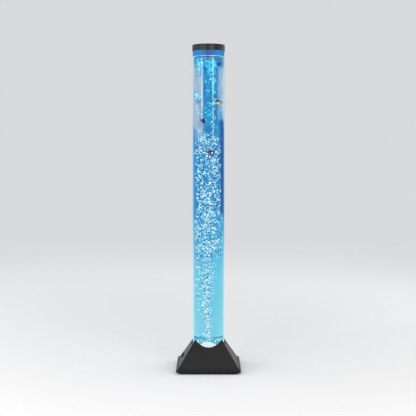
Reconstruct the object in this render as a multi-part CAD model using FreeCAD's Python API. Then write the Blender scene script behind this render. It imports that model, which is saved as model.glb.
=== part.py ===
import FreeCAD, Part
import math
import os

# A free-standing bubble tube lamp: a clear water tube on a scalloped pyramid base,
# with an air pump, a light ring and a switch inside the base, and floating fish in the tube.
# Millimetres. +Z is up, the front is towards -Y, and z = 0 is the floor under the rubber feet.

V = FreeCAD.Vector

# Overall
total_height = 1020.0        # floor to the top of the cap
base_width = 200.0           # across the lip of the base
tube_diameter = 99.0
tube_wall = 3.0
running_gap = 0.05           # radial clearance of a pin in its hole
slip_gap = 0.3               # clearance of a piece that drops over or into another

# Base cover
cover_wall = 2.6
ledge_height = 16.0          # top of the flat ledge round the foot of the slope
ledge_width = 5.4
lip_bottom = 6.0
lip_corner = 7.0             # corner radius in plan
lip_edge = 1.5               # rounding along the lip's top edge
scallop_height = 76.6        # lowest point of a scallop
ridge_radius_foot = 5.0
ridge_radius_top = 3.0
opening_gap = 6.3            # tube to cover at the bottom of a scallop
opening_flare = 0.12         # how fast the opening widens above the scallops
horn_rise = 21.6             # scallop bottom to the top of a corner horn
sleeve_wall = 2.8            # short sleeve round the tube, inside the cover
cover_post_inset = 16.6      # cover screw posts, from the foot of the slope
cover_post_x = 50.0
post_radius = 4.8
rib_width = 2.0              # stiffening rib under each ridge
rib_depth = 6.0

# Bottom plate and feet
plate_height = 2.0           # underside of the plate above the floor
plate_wall = 3.0
plate_bevel = 5.5            # sloping edge below the lip
plate_rim = 3.0              # upright part of the edge, inside the lip
boss_height = 3.0
boss_radius = 6.4
foot_radius = 8.0
foot_recess = 1.2
foot_inset = 22.0            # foot centre from the outside of the base
vent_width = 3.6
vent_length = 40.0
vent_pitch = 6.6
vent_count = 4
vent_left_inset = 36.0       # middle of the left vents from the outside of the base
vent_front_inset = 30.0

# Screws
screw_radius = 1.6
screw_head_radius = 3.4
screw_head_height = 2.2
screw_length = 15.0
small_screw_radius = 1.2
small_head_radius = 2.3
small_head_height = 1.4

# Tube seat
seat_depth = 26.8            # seat ledge below the bottom of a scallop
seat_ledge = 4.0             # thickness of the ledge ring
seat_ledge_width = 8.4       # how far the ledge reaches in under the tube
collar_height = 16.0
seat_post_radius = 5.5
seat_post_gap = 0.6          # posts to the light board
gasket_thickness = 2.0
tube_floor_thickness = 6.0

# Air nozzle through the tube floor
stem_radius = 4.0
nozzle_flange_radius = 8.0
nozzle_flange_height = 2.5
nozzle_tip_height = 6.0
nozzle_bore = 1.5
seal_thickness = 1.5
nut_width = 13.0
nut_height = 4.0
elbow_drop = 22.0            # elbow axis below the underside of the tube floor
elbow_reach = 8.0
barb_radius = 2.15
barb_length = 9.0

# Air hose and check valve
hose_bore_radius = 2.2
hose_wall = 0.9
valve_radius = 7.0
valve_half_length = 10.0
valve_chamber_radius = 5.0
valve_chamber_length = 3.5
valve_disc_radius = 4.2
valve_disc_thickness = 1.2
valve_from_outlet = 26.0     # pump outlet to the inlet face of the check valve's body
hose_to_post = 2.4           # hose passing a seat post

# Light ring
led_board_drop = 4.4         # top of the board below the seat's ledge ring
led_board_thickness = 1.6
led_board_hole = 10.0
led_circle_radius = 28.0
led_count = 12
led_size = 5.0
led_height = 1.6
led_lens_radius = 1.8
led_lens_height = 0.8
led_boss_inset = 3.0         # mounting bosses, inside the board's edge
led_boss_radius = 2.8

# Pump
pump_to_cover = 10.6         # end of the lid to the cover's slope
pump_length = 54.0
pump_half_width = 21.0
pump_case_height = 24.0
pump_wall = 2.0
pump_lid_height = 4.0
pump_pad_height = 3.0
pump_pad_radius = 5.0
pump_outlet_inset = 6.0      # outlet from the inner end of the pump
pump_outlet_reach = 8.0
valve_block_length = 17.5
valve_block_half_width = 14.0
valve_block_height = 9.0
pivot_radius = 1.2
pivot_above_block = 9.0
ear_gap = 1.2                # arm to each pivot ear
ear_thickness = 2.4
knuckle_radius = 2.6
arm_thickness = 2.0
arm_half_width = 4.0
arm_length = 40.0
magnet_length = 12.0
magnet_half_width = 7.0
magnet_height = 4.0
bellows_radius = 7.0
bellows_height = 5.5
core_length = 12.0
core_half_width = 16.0
core_leg = 4.0
core_height = 11.4
coil_margin = 5.4

# Control board
board_length = 44.0
board_width = 24.0
board_thickness = 1.6
board_left = -34.0
board_front = 50.0
standoff_height = 6.0
standoff_radius = 3.0
standoff_inset = 3.5

# Rocker switch on the left face, and power socket on the rear face
switch_to_ridge = 58.0       # middle of the switch to the rear left ridge
switch_height = 35.0
bezel_length = 15.0
bezel_width = 10.5
bezel_proud = 3.4
bezel_rim = 0.9
switch_body_depth = 10.0
rocker_radius = 5.4
rocker_width = 7.8
rocker_proud = 5.7           # ends of the rocker above the slope when level
rocker_pivot = 2.2           # pivot above the slope
rocker_dish = 1.1
rocker_tilt = 10.0           # degrees either side of level
rocker_pin_radius = 0.7
rocker_pin_length = 0.5
socket_x = 28.0
socket_height = 26.0
socket_radius = 5.4
socket_flange_radius = 6.8
socket_flange_height = 1.6
socket_depth = 13.0
socket_bore = 3.0
socket_pin_radius = 1.0
socket_nut_radius = 7.4

# Cap
cap_wall = 1.25
cap_gap = 0.25
cap_top = 3.0
cap_dome = 1.7
cap_edge = 2.4
cap_skirt = 16.3             # skirt below the underside of the cap's top
cap_spigot = 12.0
cap_spigot_wall = 2.3
cap_seal_thickness = 2.0

# Fish
fin_thickness = 1.2

# Worked out from the sizes above
tube_radius = tube_diameter / 2
tube_inside = tube_radius - tube_wall
base_half = base_width / 2
slope_foot = base_half - ledge_width
opening_radius = tube_radius + opening_gap
slope_inset = (slope_foot - opening_radius) / (scallop_height - ledge_height)
slope_factor = math.sqrt(1 + slope_inset ** 2)
horn_height = scallop_height + horn_rise
plate_top = plate_height + plate_wall
boss_top = plate_top + boss_height
seat_height = scallop_height - seat_depth
tube_bottom = seat_height + gasket_thickness
floor_top = tube_bottom + tube_floor_thickness
cap_under = total_height - cap_dome - cap_top
tube_top = cap_under - cap_seal_thickness - slip_gap
cover_post_y = slope_foot - cover_post_inset
led_board_top = seat_height - seat_ledge - led_board_drop
led_board_radius = tube_inside - slip_gap
led_boss_circle = led_board_radius - led_boss_inset
seat_post_offset = (led_board_radius + seat_post_gap + seat_post_radius) * math.sqrt(0.5)
pump_floor = plate_top + pump_pad_height
pump_top = pump_floor + pump_case_height + pump_lid_height
block_floor = pump_floor + pump_wall
block_top = block_floor + valve_block_height
outlet_height = block_floor + valve_block_height / 2
elbow_height = tube_bottom - elbow_drop
cover_inside_half = slope_foot - slope_inset * (pump_top - ledge_height) - cover_wall * slope_factor
pump_left = cover_inside_half - pump_to_cover - pump_length
pump_outlet_x = pump_left + pump_outlet_inset
pivot_x = pump_left + pump_wall + slip_gap + knuckle_radius + 0.1
pivot_height = block_top + pivot_above_block
hose_radius = hose_bore_radius + hose_wall
valve_x = pump_outlet_x - valve_from_outlet
valve_y = -(seat_post_offset + seat_post_radius + hose_to_post + hose_radius)


# Plain shapes

def cylinder(radius, bottom, top, x=0.0, y=0.0):
    return Part.makeCylinder(radius, top - bottom, V(x, y, bottom))


def ring(inside, outside, bottom, top, x=0.0, y=0.0):
    return cylinder(outside, bottom, top, x, y).cut(cylinder(inside, bottom, top, x, y))


def box(x0, x1, y0, y1, z0, z1):
    return Part.makeBox(x1 - x0, y1 - y0, z1 - z0, V(x0, y0, z0))


def line(start, end):
    return Part.LineSegment(start, end).toShape()


def arc(start, middle, end):
    return Part.Arc(start, middle, end).toShape()


def turned(points):
    """A solid turned about Z from (radius, height) points."""
    corners = [V(radius, 0, height) for radius, height in points]
    outline = Part.makePolygon(corners + [corners[0]])
    return Part.Face(outline).revolve(V(0, 0, 0), V(0, 0, 1), 360)


def rounded_square(half_width, corner, z):
    """A level square wire with rounded corners."""
    flat = half_width - corner
    diagonal = flat + corner * math.sqrt(0.5)
    edges = []
    for quarter in range(4):
        turn = FreeCAD.Rotation(V(0, 0, 1), 90 * quarter)
        side_start = turn.multVec(V(half_width, -flat, z))
        side_end = turn.multVec(V(half_width, flat, z))
        corner_middle = turn.multVec(V(diagonal, diagonal, z))
        corner_end = turn.multVec(V(flat, half_width, z))
        edges.append(line(side_start, side_end))
        edges.append(arc(side_end, corner_middle, corner_end))
    return Part.Wire(edges)


def square_block(half_width, corner, bottom, top):
    return Part.Face(rounded_square(half_width, corner, bottom)).extrude(V(0, 0, top - bottom))


def square_taper(lower, lower_corner, bottom, upper, upper_corner, top):
    sections = [rounded_square(lower, lower_corner, bottom), rounded_square(upper, upper_corner, top)]
    return Part.makeLoft(sections, True, True)


def fused(shapes):
    whole = shapes[0].multiFuse(shapes[1:])
    return whole.removeSplitter()


def cut_all(shape, cutters):
    return shape.cut(Part.makeCompound(cutters))


def slot(length, width, bottom, top, x, y, along_x):
    """A round-ended slot cutter."""
    half = length / 2 - width / 2
    reach = V(half, 0, 0) if along_x else V(0, half, 0)
    side = V(0, width / 2, 0) if along_x else V(width / 2, 0, 0)
    end = V(width / 2, 0, 0) if along_x else V(0, width / 2, 0)
    centre = V(x, y, bottom)
    edges = [
        line(centre - reach + side, centre + reach + side),
        arc(centre + reach + side, centre + reach + end, centre + reach - side),
        line(centre + reach - side, centre - reach - side),
        arc(centre - reach - side, centre - reach - end, centre - reach + side),
    ]
    return Part.Face(Part.Wire(edges)).extrude(V(0, 0, top - bottom))


def slope_half_width(z):
    """Outside half width of the sloping faces at height z."""
    return slope_foot - slope_inset * (z - ledge_height)


def wall_frame(out_x, out_y, along, height):
    """Placement on a sloping face: local Z points straight out of it and local Y up it."""
    outward = V(out_x, out_y, slope_inset) / slope_factor
    upward = V(-out_x * slope_inset, -out_y * slope_inset, 1) / slope_factor
    sideways = upward.cross(outward)
    half = slope_half_width(height)
    origin = V(out_x * half - out_y * along, out_y * half + out_x * along, height)
    turn = FreeCAD.Rotation(sideways, upward, outward, "ZXY")
    return FreeCAD.Placement(origin, turn)


def placed(shape, placement):
    return shape.transformed(placement.toMatrix())


switch_frame = wall_frame(-1, 0, switch_to_ridge - slope_half_width(switch_height), switch_height)
socket_frame = wall_frame(0, 1, -socket_x, socket_height)


# Base cover

def cover_outside():
    lip = square_block(base_half, lip_corner, lip_bottom, ledge_height)
    top_edges = [edge for edge in lip.Edges if edge.BoundBox.ZMin > ledge_height - 0.01]
    lip = lip.makeFillet(lip_edge, top_edges)
    slope = square_taper(
        slope_foot, ridge_radius_foot, ledge_height,
        slope_half_width(horn_height), ridge_radius_top, horn_height,
    )
    return fused([lip, slope])


def cover_inside():
    inner_half = base_half - cover_wall
    under_ledge = ledge_height - cover_wall
    lip = square_block(inner_half, lip_corner - cover_wall, lip_bottom, under_ledge)
    side_wall = cover_wall * slope_factor
    slope = square_taper(
        slope_half_width(under_ledge) - side_wall, ridge_radius_foot, under_ledge,
        slope_half_width(horn_height) - side_wall, ridge_radius_top, horn_height,
    )
    return lip.fuse(slope)


def tube_opening():
    top = horn_height + 1
    flared = opening_radius + opening_flare * (top - scallop_height)
    return turned([
        (0, lip_bottom), (opening_radius, lip_bottom), (opening_radius, scallop_height),
        (flared, top), (0, top),
    ])


def corner_places(x, y):
    return [(x, y), (-x, y), (-x, -y), (x, -y)]


def base_cover():
    outside = cover_outside()
    shell = outside.cut(cover_inside())
    collar_top = seat_height + collar_height
    sleeve = cylinder(opening_radius + sleeve_wall, collar_top + slip_gap, horn_height).common(outside)
    extras = [sleeve]
    for x, y in corner_places(cover_post_x, cover_post_y):
        extras.append(cylinder(post_radius, boss_top, horn_height, x, y).common(outside))
    rib_face = square_taper(
        slope_half_width(ledge_height) - rib_depth, ridge_radius_foot, ledge_height,
        slope_half_width(horn_height) - rib_depth, ridge_radius_top, horn_height,
    )
    for x, y in corner_places(1, 1):
        rib = box(-rib_width / 2, rib_width / 2, 0, base_width, ledge_height, horn_height)
        rib.rotate(V(0, 0, 0), V(0, 0, 1), math.degrees(math.atan2(-x, y)))
        extras.append(rib.common(outside).cut(rib_face))
    cover = fused([shell] + extras)
    cutters = [tube_opening()]
    for x, y in corner_places(cover_post_x, cover_post_y):
        pilot_top = boss_top + screw_length - boss_height
        cutters.append(cylinder(screw_radius + running_gap, boss_top, pilot_top, x, y))
    cutters.append(placed(box(
        -bezel_width / 2 + bezel_rim - slip_gap, bezel_width / 2 - bezel_rim + slip_gap,
        -bezel_length / 2 + bezel_rim - slip_gap, bezel_length / 2 - bezel_rim + slip_gap,
        -2 * cover_wall, cover_wall), switch_frame))
    cutters.append(placed(cylinder(socket_radius + slip_gap, -2 * cover_wall, cover_wall), socket_frame))
    return cut_all(cover, cutters)


# Bottom plate, feet and screws

def foot_places():
    offset = base_half - foot_inset
    return corner_places(offset, offset)


def screwed_places():
    return corner_places(cover_post_x, cover_post_y) + corner_places(seat_post_offset, seat_post_offset)


def standoff_places():
    left = board_left + standoff_inset
    right = board_left + board_length - standoff_inset
    front = board_front + standoff_inset
    rear = board_front + board_width - standoff_inset
    return [(left, front), (right, front), (right, rear), (left, rear)]


def head_seat():
    """Height of the counterbore's floor, where a screw head bears."""
    return plate_height + screw_head_height + slip_gap


def bottom_plate():
    rim_half = base_half - cover_wall - slip_gap
    rim_corner = lip_corner - cover_wall
    bevel_top = lip_bottom
    tray = square_taper(
        rim_half - plate_bevel, rim_corner, plate_height, rim_half, rim_corner, bevel_top)
    tray = tray.fuse(square_block(rim_half, rim_corner, bevel_top, bevel_top + plate_rim))
    hollow = square_taper(
        rim_half - plate_wall - 1, rim_corner, plate_top,
        rim_half - plate_wall, rim_corner, bevel_top + plate_rim)
    plate = tray.cut(hollow)
    extras = []
    for x, y in screwed_places():
        extras.append(cylinder(boss_radius, plate_height, boss_top, x, y))
    for x, y in standoff_places():
        extras.append(cylinder(standoff_radius, plate_height, plate_top + standoff_height, x, y))
    cradle = box(
        valve_x - 1.6 * valve_half_length, valve_x - 0.4 * valve_half_length,
        valve_y - valve_chamber_radius, valve_y + valve_chamber_radius, plate_height, outlet_height)
    bed = Part.makeCylinder(
        valve_radius + running_gap, 4 * valve_half_length,
        V(valve_x + valve_half_length, valve_y, outlet_height), V(-1, 0, 0))
    extras.append(cradle.cut(bed))
    plate = fused([plate] + extras)
    cutters = []
    for x, y in screwed_places():
        cutters.append(cylinder(screw_head_radius + slip_gap, 0, head_seat(), x, y))
        cutters.append(cylinder(screw_radius + slip_gap, 0, boss_top, x, y))
    for x, y in standoff_places():
        cutters.append(cylinder(
            small_screw_radius + running_gap, plate_top, plate_top + standoff_height, x, y))
    for x, y in foot_places():
        cutters.append(cylinder(foot_radius + running_gap, 0, plate_height + foot_recess, x, y))
    for index in range(vent_count):
        offset = vent_pitch * (index - (vent_count - 1) / 2)
        left_x = vent_left_inset - base_half + offset
        front_y = vent_front_inset - base_half + offset
        cutters.append(slot(vent_length, vent_width, 0, plate_top, left_x, 0, False))
        cutters.append(slot(vent_length, vent_width, 0, plate_top, 0, front_y, True))
    return cut_all(plate, cutters)


def rubber_feet():
    feet = []
    for x, y in foot_places():
        foot = cylinder(foot_radius, 0, plate_height + foot_recess, x, y)
        bottom_edges = [edge for edge in foot.Edges if edge.BoundBox.ZMax < 0.01]
        feet.append(foot.makeChamfer(0.6, bottom_edges))
    return Part.makeCompound(feet)


def plate_screw(x, y):
    head = cylinder(screw_head_radius, head_seat() - screw_head_height, head_seat(), x, y)
    lower_edges = [edge for edge in head.Edges if edge.BoundBox.ZMax < head_seat() - 0.1]
    head = head.makeFillet(0.8, lower_edges)
    shank_top = boss_top + screw_length - boss_height - slip_gap
    shank = cylinder(screw_radius, head_seat(), shank_top, x, y)
    return head.fuse(shank).removeSplitter()


def cover_screws():
    return Part.makeCompound([plate_screw(x, y) for x, y in corner_places(cover_post_x, cover_post_y)])


def seat_screws():
    places = corner_places(seat_post_offset, seat_post_offset)
    return Part.makeCompound([plate_screw(x, y) for x, y in places])


# Tube seat, tube and its floor

def led_boss_places():
    places = []
    for index in range(3):
        angle = math.radians(120 * index)
        places.append((led_boss_circle * math.cos(angle), led_boss_circle * math.sin(angle)))
    return places


def tube_seat():
    collar_inside = tube_radius + slip_gap
    collar_outside = opening_radius - slip_gap
    ledge_inside = tube_radius - seat_ledge_width
    ledge = ring(ledge_inside, collar_outside, seat_height - seat_ledge, seat_height)
    collar = ring(collar_inside, collar_outside, seat_height, seat_height + collar_height)
    pieces = [ledge, collar]
    for x, y in corner_places(seat_post_offset, seat_post_offset):
        pieces.append(cylinder(seat_post_radius, boss_top, seat_height, x, y))
    for x, y in led_boss_places():
        pieces.append(cylinder(led_boss_radius, led_board_top, seat_height - seat_ledge, x, y))
    seat = fused(pieces)
    cutters = [cylinder(collar_inside, seat_height, seat_height + collar_height + 1)]
    for x, y in corner_places(seat_post_offset, seat_post_offset):
        pilot_top = boss_top + screw_length - boss_height
        cutters.append(cylinder(screw_radius + running_gap, boss_top, pilot_top, x, y))
    for x, y in led_boss_places():
        pilot_top = seat_height - seat_ledge
        cutters.append(cylinder(small_screw_radius + running_gap, led_board_top, pilot_top, x, y))
    return cut_all(seat, cutters)


def tube_gasket():
    return ring(tube_inside, tube_radius, seat_height, tube_bottom)


def acrylic_tube():
    tube = ring(tube_inside, tube_radius, tube_bottom, tube_top)
    rim_edges = [edge for edge in tube.Edges if edge.BoundBox.ZMin > tube_top - 0.01]
    return tube.makeChamfer(0.4, rim_edges)


def tube_floor():
    return ring(stem_radius + running_gap, tube_inside - running_gap, tube_bottom, floor_top)


# Air nozzle, hose and check valve

def nozzle_seal():
    inside = stem_radius + running_gap
    return ring(inside, nozzle_flange_radius - 1, floor_top, floor_top + seal_thickness)


def nozzle_nut():
    corners = []
    for index in range(6):
        angle = math.radians(60 * index)
        reach = nut_width / 2 / math.cos(math.radians(30))
        corners.append(V(reach * math.cos(angle), reach * math.sin(angle), tube_bottom - nut_height))
    blank = Part.Face(Part.makePolygon(corners + [corners[0]])).extrude(V(0, 0, nut_height))
    return blank.cut(cylinder(stem_radius + running_gap, tube_bottom - nut_height, tube_bottom))


def air_nozzle():
    flange_bottom = floor_top + seal_thickness
    flange_top = flange_bottom + nozzle_flange_height
    tip_top = flange_top + nozzle_tip_height
    body = turned([
        (0, elbow_height - stem_radius), (stem_radius, elbow_height - stem_radius),
        (stem_radius, flange_bottom), (nozzle_flange_radius, flange_bottom),
        (nozzle_flange_radius, flange_top - 1), (nozzle_flange_radius - 1, flange_top),
        (stem_radius, flange_top), (stem_radius - 1, tip_top), (0, tip_top),
    ])
    side = Part.makeCylinder(stem_radius - 0.6, elbow_reach, V(0, 0, elbow_height), V(-1, 0, 0))
    barb = Part.makeCylinder(barb_radius, elbow_reach + barb_length, V(0, 0, elbow_height), V(-1, 0, 0))
    body = fused([body, side, barb])
    upright = cylinder(nozzle_bore, elbow_height, tip_top)
    level = Part.makeCylinder(nozzle_bore, elbow_reach + barb_length, V(0, 0, elbow_height), V(-1, 0, 0))
    return cut_all(body, [upright, level])


def hose_along(edges):
    """A hollow hose along straight runs and tangent arcs."""
    path = Part.Wire(edges)
    start = edges[0].valueAt(edges[0].FirstParameter)
    direction = edges[0].tangentAt(edges[0].FirstParameter)
    outer = Part.Wire(Part.makeCircle(hose_radius, start, direction))
    inner = Part.Wire(Part.makeCircle(hose_bore_radius, start, direction))
    solid = path.makePipeShell([outer], True, False)
    bore = path.makePipeShell([inner], True, False)
    return solid.cut(bore)


def lower_hose():
    """Pump outlet to check valve."""
    wall_face = -pump_half_width - 0.5
    bend = pump_outlet_x - (valve_x + barb_length - 1)
    bend_start = V(pump_outlet_x, valve_y + bend, outlet_height)
    bend_end = V(pump_outlet_x - bend, valve_y, outlet_height)
    centre = V(pump_outlet_x - bend, valve_y + bend, outlet_height)
    middle = centre + V(math.sqrt(0.5), -math.sqrt(0.5), 0) * bend
    return hose_along([
        line(V(pump_outlet_x, wall_face, outlet_height), bend_start),
        arc(bend_start, middle, bend_end),
        line(bend_end, V(valve_x + 0.5, valve_y, outlet_height)),
    ])


def upper_hose():
    """Check valve to the elbow under the tube: a half turn in a tilted plane, round a seat post."""
    valve_end = V(valve_x - 2 * valve_half_length - 0.5, valve_y, outlet_height)
    elbow_end = V(-elbow_reach - 0.5, 0, elbow_height)
    turn_x = min(valve_end.x - barb_length, -seat_post_offset)
    turn_start = V(turn_x, valve_end.y, valve_end.z)
    turn_end = V(turn_x, elbow_end.y, elbow_end.z)
    turn_radius = (turn_end - turn_start).Length / 2
    middle = (turn_start + turn_end) / 2 - V(turn_radius, 0, 0)
    return hose_along([
        line(valve_end, turn_start),
        arc(turn_start, middle, turn_end),
        line(turn_end, elbow_end),
    ])


def along_valve(radius, start, length):
    """A cylinder on the check valve's axis, running from x = start towards -X."""
    return Part.makeCylinder(radius, length, V(start, valve_y, outlet_height), V(-1, 0, 0))


def valve_inlet():
    chamber_start = valve_x - valve_half_length + valve_chamber_length
    body = fused([
        along_valve(valve_radius, valve_x, valve_half_length),
        along_valve(barb_radius, valve_x + barb_length, barb_length + 1),
    ])
    return cut_all(body, [
        along_valve(nozzle_bore, valve_x + barb_length, barb_length + valve_half_length),
        along_valve(valve_chamber_radius, chamber_start, valve_chamber_length),
    ])


def valve_outlet():
    start = valve_x - valve_half_length
    body = fused([
        along_valve(valve_radius, start, valve_half_length),
        along_valve(barb_radius, start - valve_half_length + 1, barb_length + 1),
    ])
    return body.cut(along_valve(nozzle_bore, start, valve_half_length + barb_length + 1))


def valve_disc():
    chamber_start = valve_x - valve_half_length + valve_chamber_length
    return along_valve(valve_disc_radius, chamber_start - slip_gap, valve_disc_thickness)


# Light ring

def led_board():
    bottom = led_board_top - led_board_thickness
    board = ring(led_board_hole, led_board_radius, bottom, led_board_top)
    holes = []
    for x, y in led_boss_places():
        holes.append(cylinder(small_screw_radius + running_gap, bottom, led_board_top, x, y))
    return cut_all(board, holes)


def led_lamps():
    lamps = []
    for index in range(led_count):
        angle = 360 * (index + 0.5) / led_count
        half = led_size / 2
        chip = box(
            led_circle_radius - half, led_circle_radius + half, -half, half,
            led_board_top, led_board_top + led_height)
        lens_top = led_board_top + led_height + led_lens_height
        lens = Part.makeCone(
            led_lens_radius, led_lens_radius / 2, lens_top - led_board_top,
            V(led_circle_radius, 0, led_board_top))
        lamp = chip.fuse(lens)
        lamp.rotate(V(0, 0, 0), V(0, 0, 1), angle)
        lamps.append(lamp)
    return Part.makeCompound(lamps)


def small_screw(x, y, under_head, direction, length):
    """A small screw: the head lies on the side away from its direction of travel."""
    head = Part.makeCylinder(small_head_radius, small_head_height, V(x, y, under_head), V(0, 0, -direction))
    shank = Part.makeCylinder(small_screw_radius, length, V(x, y, under_head), V(0, 0, direction))
    return head.fuse(shank)


def led_board_screws():
    under = led_board_top - led_board_thickness
    length = led_board_thickness + led_board_drop - slip_gap
    return Part.makeCompound([small_screw(x, y, under, 1, length) for x, y in led_boss_places()])


# Control board

def control_board():
    bottom = plate_top + standoff_height
    board = box(
        board_left, board_left + board_length, board_front, board_front + board_width,
        bottom, bottom + board_thickness)
    upright = [edge for edge in board.Edges if edge.BoundBox.ZLength > board_thickness / 2]
    board = board.makeFillet(1.5, upright)
    holes = []
    for x, y in standoff_places():
        holes.append(cylinder(small_screw_radius + running_gap, bottom, bottom + board_thickness, x, y))
    return cut_all(board, holes)


def board_top():
    return plate_top + standoff_height + board_thickness


def board_screws():
    length = board_thickness + standoff_height - slip_gap
    return Part.makeCompound([small_screw(x, y, board_top(), -1, length) for x, y in standoff_places()])


def board_capacitors():
    cans = []
    for index in range(3):
        can = cylinder(
            3.2, board_top(), board_top() + 9.5,
            board_left + 0.3 * board_length + 8.5 * index, board_front + 0.68 * board_width)
        top_edges = [edge for edge in can.Edges if edge.BoundBox.ZMin > board_top() + 9]
        cans.append(can.makeFillet(0.7, top_edges))
    return Part.makeCompound(cans)


def board_chips():
    centre_x = board_left + board_length / 2
    chip = box(
        centre_x - 6, centre_x + 6, board_front + 6, board_front + 11, board_top(), board_top() + 1.8)
    driver = box(
        centre_x + 9, centre_x + 14, board_front + 5, board_front + 11, board_top(), board_top() + 1.8)
    return Part.makeCompound([chip, driver])


def board_sockets():
    sockets = []
    for index in range(2):
        x = board_left + 9 + 7 * index
        outer = box(x - 3, x + 3, board_front + 1, board_front + 5.5, board_top(), board_top() + 6)
        hollow = box(x - 2.3, x + 2.3, board_front + 1.7, board_front + 4.8, board_top() + 1, board_top() + 6)
        sockets.append(outer.cut(hollow))
    return Part.makeCompound(sockets)


# Pump

def pump_case():
    right = pump_left + pump_length
    top = pump_floor + pump_case_height
    case = box(pump_left, right, -pump_half_width, pump_half_width, pump_floor, top)
    upright = [edge for edge in case.Edges if edge.BoundBox.ZLength > pump_case_height / 2]
    case = case.makeFillet(4, upright)
    hollow = box(
        pump_left + pump_wall, right - pump_wall, -pump_half_width + pump_wall,
        pump_half_width - pump_wall, pump_floor + pump_wall, top)
    upright = [edge for edge in hollow.Edges if edge.BoundBox.ZLength > pump_case_height / 2]
    hollow = hollow.makeFillet(4 - pump_wall, upright)
    outlet = Part.makeCylinder(
        barb_radius + slip_gap, 3 * pump_wall,
        V(pump_outlet_x, -pump_half_width - pump_wall, outlet_height), V(0, 1, 0))
    return cut_all(case, [hollow, outlet])


def pump_lid():
    right = pump_left + pump_length
    bottom = pump_floor + pump_case_height
    top = bottom + pump_lid_height
    lid = box(pump_left, right, -pump_half_width, pump_half_width, bottom, top)
    upright = [edge for edge in lid.Edges if edge.BoundBox.ZLength > pump_lid_height / 2]
    lid = lid.makeFillet(4, upright)
    top_edges = [edge for edge in lid.Edges if edge.BoundBox.ZMin > top - 0.01]
    lid = lid.makeFillet(1.2, top_edges)
    hollow = box(
        pump_left + pump_wall, right - pump_wall, -pump_half_width + pump_wall,
        pump_half_width - pump_wall, bottom, top - pump_wall)
    upright = [edge for edge in hollow.Edges if edge.BoundBox.ZLength > pump_wall / 2]
    hollow = hollow.makeFillet(4 - pump_wall, upright)
    return lid.cut(hollow)


def pump_pads():
    pads = []
    for x in (pump_left + 7, pump_left + pump_length - 7):
        for y in (-pump_half_width + 7, pump_half_width - 7):
            pads.append(cylinder(pump_pad_radius, plate_top, pump_floor, x, y))
    return Part.makeCompound(pads)


def pump_valve_block():
    left = pump_left + pump_wall + slip_gap
    right = left + valve_block_length
    block = box(
        left, right, -valve_block_half_width, valve_block_half_width, block_floor, block_top)
    ear_inside = arm_half_width + ear_gap
    ear_outside = ear_inside + ear_thickness
    pieces = [block]
    for side in (-1, 1):
        y0 = min(side * ear_inside, side * ear_outside)
        y1 = max(side * ear_inside, side * ear_outside)
        ear = box(left, pivot_x + knuckle_radius, y0, y1, block_top - 1, pivot_height)
        knuckle = Part.makeCylinder(knuckle_radius, y1 - y0, V(pivot_x, y0, pivot_height), V(0, 1, 0))
        pieces.append(ear.fuse(knuckle))
    barb = Part.makeCylinder(
        barb_radius, pump_half_width + pump_outlet_reach - valve_block_half_width + 1,
        V(pump_outlet_x, -valve_block_half_width + 1, outlet_height), V(0, -1, 0))
    pieces.append(barb)
    block = fused(pieces)
    air_way = Part.makeCylinder(
        nozzle_bore, pump_half_width + pump_outlet_reach, V(pump_outlet_x, 0, outlet_height), V(0, -1, 0))
    bellows_port = cylinder(nozzle_bore, outlet_height, block_top, bellows_x(), 0)
    joining = Part.makeCylinder(
        nozzle_bore, bellows_x() - pump_outlet_x, V(pump_outlet_x, 0, outlet_height), V(1, 0, 0))
    pin_hole = Part.makeCylinder(
        pivot_radius + running_gap, 2 * ear_outside + 2,
        V(pivot_x, -ear_outside - 1, pivot_height), V(0, 1, 0))
    return cut_all(block, [air_way, bellows_port, joining, pin_hole])


def bellows_x():
    return pump_left + pump_wall + slip_gap + valve_block_length - bellows_radius + 1


def pump_bellows():
    """Two rubber folds, open to the valve block below and closed by a stud under the arm."""
    bottom = block_top
    fold = bellows_height / 4
    wall = 0.9
    outside = [(bellows_radius, bottom)]
    inside = [(bellows_radius - wall, bottom)]
    for index in range(1, 5):
        radius = bellows_radius - 2 if index % 2 else bellows_radius
        outside.append((radius, bottom + fold * index))
        inside.append((radius - wall, bottom + fold * index))
    top = bottom + bellows_height
    inside[-1] = (bellows_radius - wall, top - wall)
    stud_top = pivot_height - arm_thickness / 2
    profile = outside + [(2.0, top), (2.0, stud_top), (0, stud_top), (0, top - wall)] + inside[::-1]
    bellows = turned(profile)
    bellows.translate(V(bellows_x(), 0, 0))
    return bellows


def pump_arm():
    bottom = pivot_height - arm_thickness / 2
    top = pivot_height + arm_thickness / 2
    end = pivot_x + arm_length
    bar = box(pivot_x, end, -arm_half_width, arm_half_width, bottom, top)
    knuckle = Part.makeCylinder(
        knuckle_radius, 2 * arm_half_width, V(pivot_x, -arm_half_width, pivot_height), V(0, 1, 0))
    plate = box(
        end - magnet_length, end, -magnet_half_width, magnet_half_width, bottom, top)
    arm = fused([bar, knuckle, plate])
    bore = Part.makeCylinder(
        pivot_radius + running_gap, 2 * arm_half_width,
        V(pivot_x, -arm_half_width, pivot_height), V(0, 1, 0))
    return arm.cut(bore)


def pump_magnet():
    top = pivot_height - arm_thickness / 2
    end = pivot_x + arm_length
    return box(
        end - magnet_length, end, -magnet_half_width, magnet_half_width, top - magnet_height, top)


def pump_pivot_pin():
    reach = arm_half_width + ear_gap + ear_thickness
    return Part.makeCylinder(pivot_radius, 2 * reach, V(pivot_x, -reach, pivot_height), V(0, 1, 0))


def core_start():
    return pivot_x + arm_length - magnet_length


def pump_core():
    """Laminated iron in an E shape, its three legs pointing up at the magnet."""
    start = core_start()
    bottom = block_floor
    blank = box(start, start + core_length, -core_half_width, core_half_width, bottom, bottom + core_height)
    windows = []
    for side in (-1, 1):
        inner = core_leg
        outer = core_half_width - core_leg
        y0 = min(side * inner, side * outer)
        y1 = max(side * inner, side * outer)
        windows.append(box(start, start + core_length, y0, y1, bottom + core_leg, bottom + core_height))
    return cut_all(blank, windows)


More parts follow.
